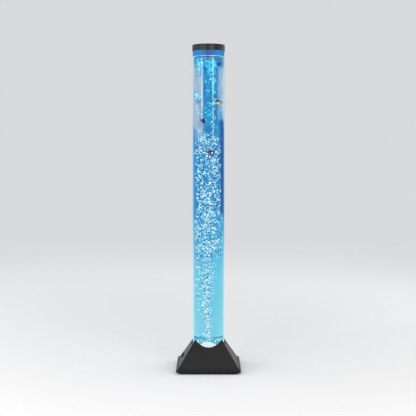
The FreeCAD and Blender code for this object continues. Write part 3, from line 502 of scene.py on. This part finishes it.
def circuit_board():
    paint = Paint("circuit_board")
    tracks = paint.cells(140.0, "DISTANCE_TO_EDGE").rise(0.05, 0.08)
    mask = paint.noise(300.0, 2.0)
    colour = paint.blend(tracks, (0.05, 0.20, 0.09), (0.012, 0.09, 0.04))
    return paint.done(paint.principled(
        base_color=colour, roughness=0.30 + 0.1 * mask, normal=paint.bump(tracks, 0.3, 0.0001)))


def metal(name, colour, roughness, grain_scale, stretch):
    paint = Paint(name)
    grain = paint.noise(grain_scale, 3.0, at=paint.scaled(stretch))
    tone = paint.blend(grain, tuple(0.8 * c for c in colour), colour)
    return paint.done(paint.principled(
        base_color=tone, metallic=1.0, roughness=roughness + 0.15 * (grain - 0.5),
        normal=paint.bump(grain, 0.15, 0.0002)))


def wound_copper():
    paint = Paint("wound_copper")
    turns = paint.math("SINE", paint.z * 12000.0)
    # Darker between the turns: painted shade in the grooves, beside the bump
    tone = paint.blend(turns.rise(-0.9, 0.6), (0.16, 0.045, 0.02), (0.62, 0.23, 0.09))
    return paint.done(paint.principled(
        base_color=tone, metallic=0.8, roughness=0.35 + 0.1 * paint.noise(500.0),
        normal=paint.bump(turns, 0.6, 0.0002)))


def laminated_iron():
    paint = Paint("laminated_iron")
    sheets = paint.math("SINE", paint.x * 9000.0)
    tone = paint.blend(sheets.rise(-0.8, 0.2), (0.03, 0.03, 0.035), (0.20, 0.20, 0.22))
    return paint.done(paint.principled(
        base_color=tone, metallic=0.9, roughness=0.5 + 0.15 * paint.noise(300.0),
        normal=paint.bump(sheets, 0.4, 0.0001)))


def silicone(name, colour, share):
    paint = Paint(name)
    cloud = paint.noise(90.0, 3.0)
    body = paint.principled(base_color=colour, roughness=0.25 + 0.2 * cloud, coat_weight=0.2)
    return paint.done(paint.mixed(share + 0.15 * (cloud - 0.5), paint.clear((0.9, 0.94, 0.96)), body))


def led_lens(glow):
    paint = Paint("led_lens")
    dome_foot = FLOOR_LOW.z - 0.0092
    domed = paint.z.rise(dome_foot, dome_foot + 0.0006)
    colour = paint.blend(domed, (0.75, 0.80, 0.78), (0.55, 0.86, 1.0))
    return paint.done(paint.principled(
        base_color=colour, roughness=0.25 + 0.1 * paint.noise(200.0),
        emission_color=paint.blend(domed, (0.0, 0.0, 0.0), (0.45, 0.85, 1.0)), emission_strength=glow))


# Sizes and colours that a user may change

class LampWaterSettings(bpy.types.PropertyGroup):
    level: bpy.props.FloatProperty(
        name="Water Level", description="Height of the water's surface above the floor",
        default=0.983, min=0.3, max=1.0, unit="LENGTH")
    glow: bpy.props.FloatProperty(
        name="Glow", description="Strength of the light in the water", default=1.0, min=0.0, max=4.0)
    foam_depth: bpy.props.FloatProperty(
        name="Foam Depth", description="Thickness of the foam at the surface",
        default=0.0018, min=0.0005, max=0.02, unit="LENGTH")


class LampBubbleSettings(bpy.types.PropertyGroup):
    count: bpy.props.IntProperty(
        name="Bubbles", description="How many bubbles rise in the water", default=2150, min=10, max=2600)
    size: bpy.props.FloatProperty(
        name="Bubble Size", description="Half length of a usual bubble",
        default=0.0030, min=0.001, max=0.01, unit="LENGTH")
    seed: bpy.props.IntProperty(
        name="Seed", description="Picks another arrangement of bubbles", default=7)
    # Colours of the bubbles' painted glow; the shaded colour is painted shade
    bright: bpy.props.FloatVectorProperty(
        name="Bubble Colour", description="Colour of a bubble's middle", subtype="COLOR",
        default=(1.0, 1.0, 0.86), min=0.0, max=1.0)
    high: bpy.props.FloatVectorProperty(
        name="Bubble Colour High Up", description="Colour of a bubble's middle near the top",
        subtype="COLOR", default=(0.0, 0.62, 0.86), min=0.0, max=1.0)
    deep: bpy.props.FloatVectorProperty(
        name="Shaded Bubble Colour", description="Colour of a bubble in shade", subtype="COLOR",
        default=(0.0, 0.10, 0.30), min=0.0, max=1.0)


class LampPlasticSettings(bpy.types.PropertyGroup):
    base_colour: bpy.props.FloatVectorProperty(
        name="Base Colour", description="Colour of the moulded base", subtype="COLOR",
        default=(0.009, 0.009, 0.010), min=0.0, max=1.0)
    base_roughness: bpy.props.FloatProperty(
        name="Base Roughness", description="How satin the base is", default=0.40, min=0.0, max=1.0)
    cap_colour: bpy.props.FloatVectorProperty(
        name="Cap Colour", description="Colour of the cap", subtype="COLOR",
        default=(0.007, 0.007, 0.008), min=0.0, max=1.0)
    cap_roughness: bpy.props.FloatProperty(
        name="Cap Roughness", description="How satin the cap is", default=0.30, min=0.0, max=1.0)


class LampStageSettings(bpy.types.PropertyGroup):
    floor_colour: bpy.props.FloatVectorProperty(
        name="Floor Colour", description="Colour of the studio floor", subtype="COLOR",
        default=(0.77, 0.78, 0.785), min=0.0, max=1.0)
    wall_colour: bpy.props.FloatVectorProperty(
        name="Wall Colour", description="Colour of the surroundings", subtype="COLOR",
        default=(0.695, 0.70, 0.71), min=0.0, max=1.0)


# Operators

class LAMP_OT_stage(bpy.types.Operator):
    """Adds the floor, the surroundings, the softboxes and the camera"""
    bl_idname = "lamp.stage"
    bl_label = "Studio Stage"

    def execute(self, context):
        settings = context.scene.lamp_stage
        self.add_floor(settings)
        self.add_surroundings(context.scene, settings)
        self.add_softboxes()
        self.add_camera(context.scene)
        context.scene.view_settings.view_transform = "Standard"
        return {"FINISHED"}

    def add_floor(self, settings):
        start_fresh()
        bpy.ops.mesh.primitive_circle_add(vertices=96, radius=6.0, fill_type="NGON", location=(0, 0, 0))
        floor = bpy.context.object
        floor.name = "studio_floor"
        paint = Paint("studio_floor")
        reach = paint.from_axis()
        swept, fading, gone = 0.3, 2.4, 4.6
        far = reach.rise(fading, gone)
        path = paint.node("ShaderNodeLightPath")
        seen = Num(paint, path.outputs["Is Camera Ray"]) + Num(paint, path.outputs["Is Glossy Ray"])
        matt = paint.principled(
            base_color=tuple(settings.floor_colour), roughness=0.9, specular_ior_level=0.0,
            emission_color=paint.blend(reach.rise(swept, fading), (0.0, 0.0, 0.0), (0.16, 0.16, 0.165)),
            emission_strength=1.0)
        paint.material.node_tree.links.new(
            paint.mixed((far * seen).clamped(), matt, paint.clear()), paint.output.inputs["Surface"])
        floor.data.materials.append(paint.material)

    def add_surroundings(self, scene, settings):
        world = bpy.data.worlds.new("studio")
        world.use_nodes = True
        background = world.node_tree.nodes["Background"]
        background.inputs["Color"].default_value = (*settings.wall_colour, 1.0)
        background.inputs["Strength"].default_value = 1.0
        scene.world = world

    def add_softboxes(self):
        """Two narrow strips that streak the tube, two boxes above them and a panel on each side."""
        warm, white = (1.0, 0.82, 0.70), (1.0, 1.0, 1.0)
        # Name, azimuth in degrees, distance, middle height, width, height, radiance and colour
        boxes = (
            ("left_strip", -47.5, 2.0, 1.008, 0.44, 0.324, 11.0, warm),
            ("right_strip", 32.3, 2.0, 0.956, 0.52, 0.427, 12.5, warm),
            ("left_high", -25, 2.0, 1.47, 0.63, 0.66, 7.0, white),
            ("right_high", 14, 2.0, 1.47, 0.56, 0.66, 7.0, white),
            ("left_panel", -78, 1.8, 0.928, 2.7, 0.39, 4.2, white),
            ("right_panel", 104, 1.8, 0.965, 3.0, 0.27, 4.2, white),
        )
        for name, azimuth, distance, middle, width, height, radiance, colour in boxes:
            turn = math.radians(azimuth)
            place = Vector((math.sin(turn) * distance, -math.cos(turn) * distance, middle))
            start_fresh()
            bpy.ops.object.light_add(type="AREA", location=place)
            lamp = bpy.context.object
            lamp.name = name
            lamp.data.shape = "RECTANGLE"
            lamp.data.size = width
            lamp.data.size_y = height
            lamp.data.energy = radiance * math.pi * width * height
            lamp.data.color = colour
            aim = Vector((0, 0, middle)) - place
            lamp.rotation_euler = aim.to_track_quat("-Z", "Y").to_euler()

    def add_camera(self, scene):
        """The camera as it was fitted to the lamp's outline, in metres, degrees and pixels."""
        distance, height, pitch_down = 3.08786, 0.70564, 3.64
        shift_pixels, picture_width = -0.55, 416
        start_fresh()
        bpy.ops.object.camera_add(
            location=(0, -distance, height), rotation=(math.radians(90 - pitch_down), 0, 0))
        camera = bpy.context.object
        camera.name = "studio_camera"
        camera.data.lens = 85
        camera.data.sensor_width = 36
        camera.data.shift_x = shift_pixels / picture_width
        scene.camera = camera


class LAMP_OT_base(bpy.types.Operator):
    """Finishes the moulded base, its feet, its screws and the tube's seat"""
    bl_idname = "lamp.base"
    bl_label = "Base"

    def execute(self, context):
        settings = context.scene.lamp_plastic
        moulded = satin_plastic(
            "satin_black_base", tuple(settings.base_colour), settings.base_roughness, 0.10, 0.22)
        for node in ("base_cover", "tube_seat"):
            dress(node, moulded)
        dress("bottom_plate", satin_plastic("matt_black_plate", (0.004, 0.004, 0.004), 0.70, 0.10, 0.08))
        dress("rubber_feet", rubber("feet_rubber", (0.02, 0.02, 0.02)))
        screws = metal("zinc_screws", (0.60, 0.61, 0.63), 0.32, 300.0, (1, 1, 0.2))
        for node in ("cover_screws", "seat_screws", "led_board_screws", "board_screws"):
            dress(node, screws)
        return {"FINISHED"}


class LAMP_OT_tube(bpy.types.Operator):
    """Finishes the clear tube, its floor and its seals"""
    bl_idname = "lamp.tube"
    bl_label = "Clear Tube"

    def execute(self, context):
        water = context.scene.lamp_water
        self.add_wall(acrylic_wall(water.level, 1.0))
        paint = Paint("clear_floor")
        cloud = paint.noise(80.0, 3.0)
        # The clear floor has a painted glow standing in for the light from the lamps below it
        plate = paint.principled(
            base_color=(0.5, 0.75, 0.85), roughness=0.25 + 0.1 * cloud,
            emission_color=(0.35, 0.75, 0.95), emission_strength=0.6)
        dress("tube_floor", paint.done(paint.mixed(0.45 + 0.2 * (cloud - 0.5), paint.clear(), plate)))
        seals = rubber("seal_rubber", (0.025, 0.025, 0.027))
        soft = ("tube_gasket", "nozzle_seal", "cap_seal", "pump_pads", "pump_bellows", "valve_disc")
        for node in soft:
            dress(node, seals)
        return {"FINISHED"}

    def add_wall(self, material):
        """The tube with finer facets than its solid has, and chamfered rims."""
        depth = TUBE_HIGH.z - TUBE_LOW.z
        start_fresh()
        bpy.ops.mesh.primitive_cylinder_add(
            vertices=192, radius=TUBE_RADIUS, depth=depth, end_fill_type="NOTHING",
            location=(0, 0, TUBE_LOW.z + depth / 2))
        tube = bpy.context.object
        apply_modifier(tube, "SOLIDIFY", thickness=TUBE_WALL, offset=-1.0)
        apply_modifier(tube, "BEVEL", width=0.0004, segments=1, angle_limit=math.radians(60))
        finish_piece(tube, "clear_tube", "base", "clear_acrylic", material)
        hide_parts("acrylic_tube")


class LAMP_OT_water(bpy.types.Operator):
    """Models the lit column of water, with its surface curling up at the wall"""
    bl_idname = "lamp.water"
    bl_label = "Water"

    def execute(self, context):
        settings = context.scene.lamp_water
        bottom = FLOOR_HIGH.z + WATER_GAP
        depth = settings.level - bottom
        start_fresh()
        bpy.ops.mesh.primitive_cylinder_add(
            vertices=192, radius=WATER_RADIUS, depth=depth, end_fill_type="NGON",
            location=(0, 0, bottom + depth / 2))
        water = bpy.context.object
        bpy.ops.object.transform_apply(location=True, rotation=True, scale=True)
        bpy.ops.object.mode_set(mode="EDIT")
        pick_faces(water, lambda centre, normal: normal.z > 0.9)
        # The surface dips in two rings from the wall inwards, each with its width and how far it dips
        for width, dip in ((0.0012, 0.0014), (0.004, 0.0006)):
            bpy.ops.mesh.inset(thickness=width)
            bpy.ops.transform.translate(value=(0, 0, -dip))
        pick_faces(water, lambda centre, normal: normal.z < -0.9)
        bpy.ops.mesh.inset(thickness=0.030)
        bpy.ops.object.mode_set(mode="OBJECT")
        finish_piece(
            water, "lit_water_column", "base", "clear_acrylic",
            water_light(settings.level, settings.glow))
        return {"FINISHED"}


class LAMP_OT_foam(bpy.types.Operator):
    """Models the ring of foam where the bubbles burst at the surface"""
    bl_idname = "lamp.foam"
    bl_label = "Foam"

    def execute(self, context):
        settings = context.scene.lamp_water
        rng = random.Random(11)
        from_wall, bead, sunk = 0.0010, 0.0007, 0.0008
        underside = settings.level - sunk - 0.0001
        start_fresh()
        bpy.ops.mesh.primitive_torus_add(
            major_radius=WATER_RADIUS - from_wall, minor_radius=bead, major_segments=120,
            minor_segments=10, location=(0, 0, settings.level - sunk))
        foam = bpy.context.object
        bpy.ops.object.transform_apply(location=True, rotation=True, scale=True)
        bpy.ops.object.mode_set(mode="EDIT")
        mesh = bmesh.from_edit_mesh(foam.data)
        for vertex in mesh.verts:
            angle = math.atan2(vertex.co.y, vertex.co.x)
            wave = 0.5 + 0.25 * math.sin(9 * angle) + 0.25 * math.sin(23 * angle + 1.3)
            if vertex.co.z < underside:
                vertex.co.z -= settings.foam_depth * wave * rng.uniform(0.4, 1.0)
        bmesh.update_edit_mesh(foam.data)
        bpy.ops.object.mode_set(mode="OBJECT")
        # The foam is painted glowing white, with painted shaded tones
        white, shaded = (0.52, 0.82, 0.92), (0.10, 0.45, 0.70)
        skin = bubble_glow_paint("foam_white", (white, white, white), (shaded, white, white), 0.8)
        finish_piece(foam, "surface_foam", "base", "clear_acrylic", skin, angle=60)
        return {"FINISHED"}


def fish_lanes():
    """The ground plan that each fish sweeps as it rises and sinks."""
    lanes = []
    for name in FISH:
        low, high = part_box(name)
        heading = math.radians(FISH_HEADINGS[name][0])
        centre = (low + high) / 2
        points = [v.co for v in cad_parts[name].data.vertices]
        along = Vector((math.cos(heading), math.sin(heading), 0))
        across = Vector((-math.sin(heading), math.cos(heading), 0))
        reach = max(abs((p - centre).dot(along)) for p in points)
        width = max(abs((p - centre).dot(across)) for p in points)
        lanes.append((centre, along, across, reach, width))
    return lanes


def in_lane(place, lanes, margin):
    for centre, along, across, reach, width in lanes:
        offset = place - centre
        if abs(offset.dot(along)) < reach + margin and abs(offset.dot(across)) < width + margin:
            return True
    return False


class LAMP_OT_bubbles(bpy.types.Operator):
    """Models one bubble and spreads copies of it in a plume, a crowd and splashes"""
    bl_idname = "lamp.bubbles"
    bl_label = "Bubbles"

    def execute(self, context):
        settings = context.scene.lamp_bubbles
        level = context.scene.lamp_water.level
        rng = random.Random(settings.seed)
        lanes = fish_lanes()
        pattern = self.one_bubble()
        field = bmesh.new()
        made = 0
        while made < settings.count:
            place, length, width = self.next_bubble(rng, settings, level)
            margin = 0.6 * (length + width)
            if in_lane(place, lanes, margin):
                continue
            lean = rng.uniform(0.5, 2.0)
            turn = Matrix.Rotation(rng.uniform(0, math.tau), 4, "Z") @ Matrix.Rotation(lean, 4, "X")
            shape = Matrix.Diagonal((width, width * rng.uniform(0.7, 1.0), length, 1.0))
            copy = pattern.copy()
            copy.transform(Matrix.Translation(place) @ turn @ shape)
            field.from_mesh(copy)
            bpy.data.meshes.remove(copy)
            made += 1
        bpy.data.meshes.remove(pattern)
        mesh = bpy.data.meshes.new("rising_bubbles")
        field.to_mesh(mesh)
        field.free()
        piece = bpy.data.objects.new("rising_bubbles", mesh)
        context.scene.collection.objects.link(piece)
        finish_piece(piece, "rising_bubbles", "base", "clear_acrylic", self.skin(settings), angle=80)
        return {"FINISHED"}

    def skin(self, settings):
        bright, high, deep = tuple(settings.bright), tuple(settings.high), tuple(settings.deep)
        # Tones of the bubbles' painted glow, from the painted shaded colour up to the bright one
        navy = (0.0, 0.04, 0.30)
        pale = tuple(0.55 * b + 0.45 * h for b, h in zip(bright, high))
        cyan = tuple(0.22 * b + 0.78 * h for b, h in zip(bright, high))
        return bubble_glow_paint("bubble_glow_paint", (deep, pale, bright), (navy, high, cyan), 1.15)

    def one_bubble(self):
        """A bubble of unit half size, flattened below as a rising bubble is."""
        start_fresh()
        bpy.ops.mesh.primitive_uv_sphere_add(segments=8, ring_count=5, radius=1.0)
        bubble = bpy.context.object
        bpy.ops.object.mode_set(mode="EDIT")
        mesh = bmesh.from_edit_mesh(bubble.data)
        for vertex in mesh.verts:
            if vertex.co.z < 0:
                vertex.co.z *= 0.7
        bmesh.update_edit_mesh(bubble.data)
        bpy.ops.object.mode_set(mode="OBJECT")
        pattern = bubble.data.copy()
        bpy.data.objects.remove(bubble)
        return pattern

    def next_bubble(self, rng, settings, level):
        """Place and half sizes of one bubble: a plume, a crowd above it, and splashes near the top."""
        plume_share, crowd_share, stray_share = 0.25, 0.77, 0.82
        start = NOZZLE_HIGH.z + 0.004
        highest = level - 0.008
        limit = WATER_RADIUS - 0.0035
        size = settings.size
        share = rng.random()
        if share < plume_share:
            climb = (CROWD_FOOT - start) * rng.random() ** 1.2
            spread = 0.005 + 0.045 * climb
            middle = -0.004 - 0.008 * math.sin(9.0 * climb)
            place = Vector((rng.gauss(middle, spread), rng.gauss(-0.004, spread), start + climb))
        elif share < crowd_share:
            reach, angle = limit * rng.random() ** 0.35, rng.uniform(0, math.tau)
            crowd_start = CROWD_FOOT - 0.03
            height = crowd_start + (CROWD_TOP - crowd_start) * rng.random() ** 0.9
            place = Vector((reach * math.cos(angle), reach * math.sin(angle), height))
        elif share < stray_share:
            height = CROWD_TOP + (highest - CROWD_TOP) * rng.random()
            place = Vector((rng.gauss(0.002, 0.016), rng.gauss(-0.012, 0.012), height))
        else:
            x, y, middle, spread = rng.choice(self.clusters)
            height = min(highest, rng.gauss(middle, 0.005))
            place = Vector((rng.gauss(x, spread), rng.gauss(y, 0.4 * spread), height))
            size *= 2.3
        side = math.hypot(place.x, place.y)
        if side > limit:
            place.x *= limit / side
            place.y *= limit / side
        length = size * rng.uniform(0.5, 1.45)
        return place, length, length * rng.uniform(0.45, 0.80)

    # Clusters of splashes near the top, each with its x, y, height and spread
    clusters = (
        (-0.013, -0.030, 0.966, 0.016), (-0.016, -0.030, 0.944, 0.012), (-0.014, -0.030, 0.930, 0.010),
        (0.014, -0.030, 0.955, 0.018), (0.004, -0.034, 0.905, 0.012), (0.002, -0.034, 0.872, 0.012),
        (-0.004, -0.036, 0.948, 0.014), (0.006, -0.036, 0.936, 0.014), (-0.033, -0.022, 0.863, 0.006),
        (0.010, -0.036, 0.838, 0.012), (-0.010, -0.034, 0.800, 0.012),
    )


class LAMP_OT_fish(bpy.types.Operator):
    """Paints the fish and gives each a pair of eyes"""
    bl_idname = "lamp.fish"
    bl_label = "Fish"

    def execute(self, context):
        for name in FISH:
            dress(name, fish_paint(name, *FISH_COLOURS[name]))
        for name in FISH:
            self.add_eyes(name)
        return {"FINISHED"}

    def add_eyes(self, name):
        """Two flattened beads on the sides of the head, joined as one piece."""
        radius, flattened, sunk = 0.0009, 0.6, 0.0001
        # Shares of the way from the fish's middle to its nose, and of the head's height
        station, behind, ahead, raised = 0.79, 0.72, 0.86, 0.35
        low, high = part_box(name)
        heading, pitch = (math.radians(angle) for angle in FISH_HEADINGS[name])
        turn = Matrix.Rotation(heading, 4, "Z") @ Matrix.Rotation(-pitch, 4, "Y")
        centre = (low + high) / 2
        points = [turn.inverted() @ (v.co - centre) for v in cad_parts[name].data.vertices]
        nose = max(p.x for p in points)
        face = [p for p in points if behind * nose < p.x < ahead * nose]
        half = max(abs(p.y) for p in face)
        height = max(p.z for p in face) * raised
        paint = Paint(name + "_eye")
        grain = paint.cells(500.0)
        glass = paint.principled(
            base_color=paint.blend(grain, (0.01, 0.01, 0.012), (0.03, 0.03, 0.035)),
            roughness=0.08 + 0.02 * grain)
        material = paint.done(glass)
        pair = []
        for side in (-1, 1):
            start_fresh()
            bpy.ops.mesh.primitive_uv_sphere_add(segments=16, ring_count=10, radius=radius)
            eye = bpy.context.object
            bpy.ops.object.mode_set(mode="EDIT")
            bpy.ops.transform.resize(value=(1.0, flattened, 1.0))
            bpy.ops.object.mode_set(mode="OBJECT")
            on_head = Matrix.Translation((station * nose, side * (half - sunk), height))
            eye.data.transform(Matrix.Translation(centre) @ turn @ on_head)
            pair.append(eye)
        start_fresh()
        for eye in pair:
            eye.select_set(True)
        bpy.context.view_layer.objects.active = pair[0]
        bpy.ops.object.join()
        tint = name.split("_")[0]
        finish_piece(bpy.context.object, name + "_eyes", name, "fish_" + tint, material, angle=60)


class LAMP_OT_inside(bpy.types.Operator):
    """Finishes the pump, the air line, the light ring and the control board"""
    bl_idname = "lamp.inside"
    bl_label = "Inside the Base"

    def execute(self, context):
        pump = satin_plastic("pump_housing", (0.06, 0.10, 0.16), 0.42, 0.12)
        white = satin_plastic("white_moulding", (0.66, 0.68, 0.70), 0.40, 0.08)
        chips = satin_plastic("chip_moulding", (0.02, 0.02, 0.02), 0.55, 0.2)
        finishes = (
            (pump, ("pump_case", "pump_lid")),
            (white, ("pump_valve_block", "pump_arm", "nozzle_nut", "board_sockets")),
            (chips, ("board_chips",)),
            (circuit_board(), ("led_board", "control_board")),
            (silicone("hose_silicone", (0.75, 0.80, 0.82), 0.55), ("lower_hose", "upper_hose")),
            (silicone("valve_moulding", (0.45, 0.66, 0.78), 0.75),
             ("valve_inlet", "valve_outlet", "air_nozzle")),
        )
        for finish, nodes in finishes:
            for node in nodes:
                dress(node, finish)
        dress("led_lamps", led_lens(3.0))
        dress("pump_core", laminated_iron())
        dress("pump_coil", wound_copper())
        dress("pump_magnet", metal("nickel_magnet", (0.55, 0.54, 0.52), 0.25, 200.0, (1, 1, 1)))
        dress("pump_pivot_pin", metal("steel_pin", (0.58, 0.58, 0.60), 0.2, 400.0, (1, 0.1, 1)))
        dress("board_capacitors", metal("capacitor_can", (0.70, 0.71, 0.73), 0.25, 500.0, (1, 1, 0.1)))
        return {"FINISHED"}


class LAMP_OT_controls(bpy.types.Operator):
    """Finishes the rocker switch and the power socket"""
    bl_idname = "lamp.controls"
    bl_label = "Switch and Socket"

    def execute(self, context):
        gloss = satin_plastic("gloss_black_controls", (0.008, 0.008, 0.009), 0.22, 0.03)
        for node in ("switch_body", "switch_rocker", "power_socket"):
            dress(node, gloss)
        dress("socket_nut", metal("plated_nut", (0.60, 0.60, 0.62), 0.3, 300.0, (1, 1, 1)))
        return {"FINISHED"}


class LAMP_OT_cap(bpy.types.Operator):
    """Finishes the domed cap"""
    bl_idname = "lamp.cap"
    bl_label = "Cap"

    def execute(self, context):
        settings = context.scene.lamp_plastic
        dress("top_cap", satin_plastic(
            "gloss_black_cap", tuple(settings.cap_colour), settings.cap_roughness, 0.05, 0.22))
        return {"FINISHED"}


class LAMP_PT_panel(bpy.types.Panel):
    """Sidebar panel with every step of the lamp"""
    bl_idname = "LAMP_PT_panel"
    bl_label = "Bubble Tube Lamp"
    bl_space_type = "VIEW_3D"
    bl_region_type = "UI"
    bl_category = "Bubble Lamp"

    def draw(self, context):
        layout = self.layout
        for operator in OPERATORS:
            layout.operator(operator.bl_idname)
        for group in GROUPS:
            settings = getattr(context.scene, group)
            box = layout.box()
            for name in settings.__annotations__:
                box.prop(settings, name)


GROUPS = {
    "lamp_water": LampWaterSettings,
    "lamp_bubbles": LampBubbleSettings,
    "lamp_plastic": LampPlasticSettings,
    "lamp_stage": LampStageSettings,
}
OPERATORS = (
    LAMP_OT_stage, LAMP_OT_base, LAMP_OT_tube, LAMP_OT_water, LAMP_OT_foam, LAMP_OT_bubbles,
    LAMP_OT_fish, LAMP_OT_inside, LAMP_OT_controls, LAMP_OT_cap,
)


def register():
    for group in GROUPS.values():
        bpy.utils.register_class(group)
    for name, group in GROUPS.items():
        setattr(bpy.types.Scene, name, bpy.props.PointerProperty(type=group))
    for operator in OPERATORS:
        bpy.utils.register_class(operator)
    bpy.utils.register_class(LAMP_PT_panel)


def unregister():
    bpy.utils.unregister_class(LAMP_PT_panel)
    for operator in reversed(OPERATORS):
        bpy.utils.unregister_class(operator)
    for name in GROUPS:
        delattr(bpy.types.Scene, name)
    for group in reversed(list(GROUPS.values())):
        bpy.utils.unregister_class(group)


def main():
    register()
    for operator in OPERATORS:
        family, step = operator.bl_idname.split(".")
        getattr(getattr(bpy.ops, family), step)()


if __name__ == "__main__":
    main()
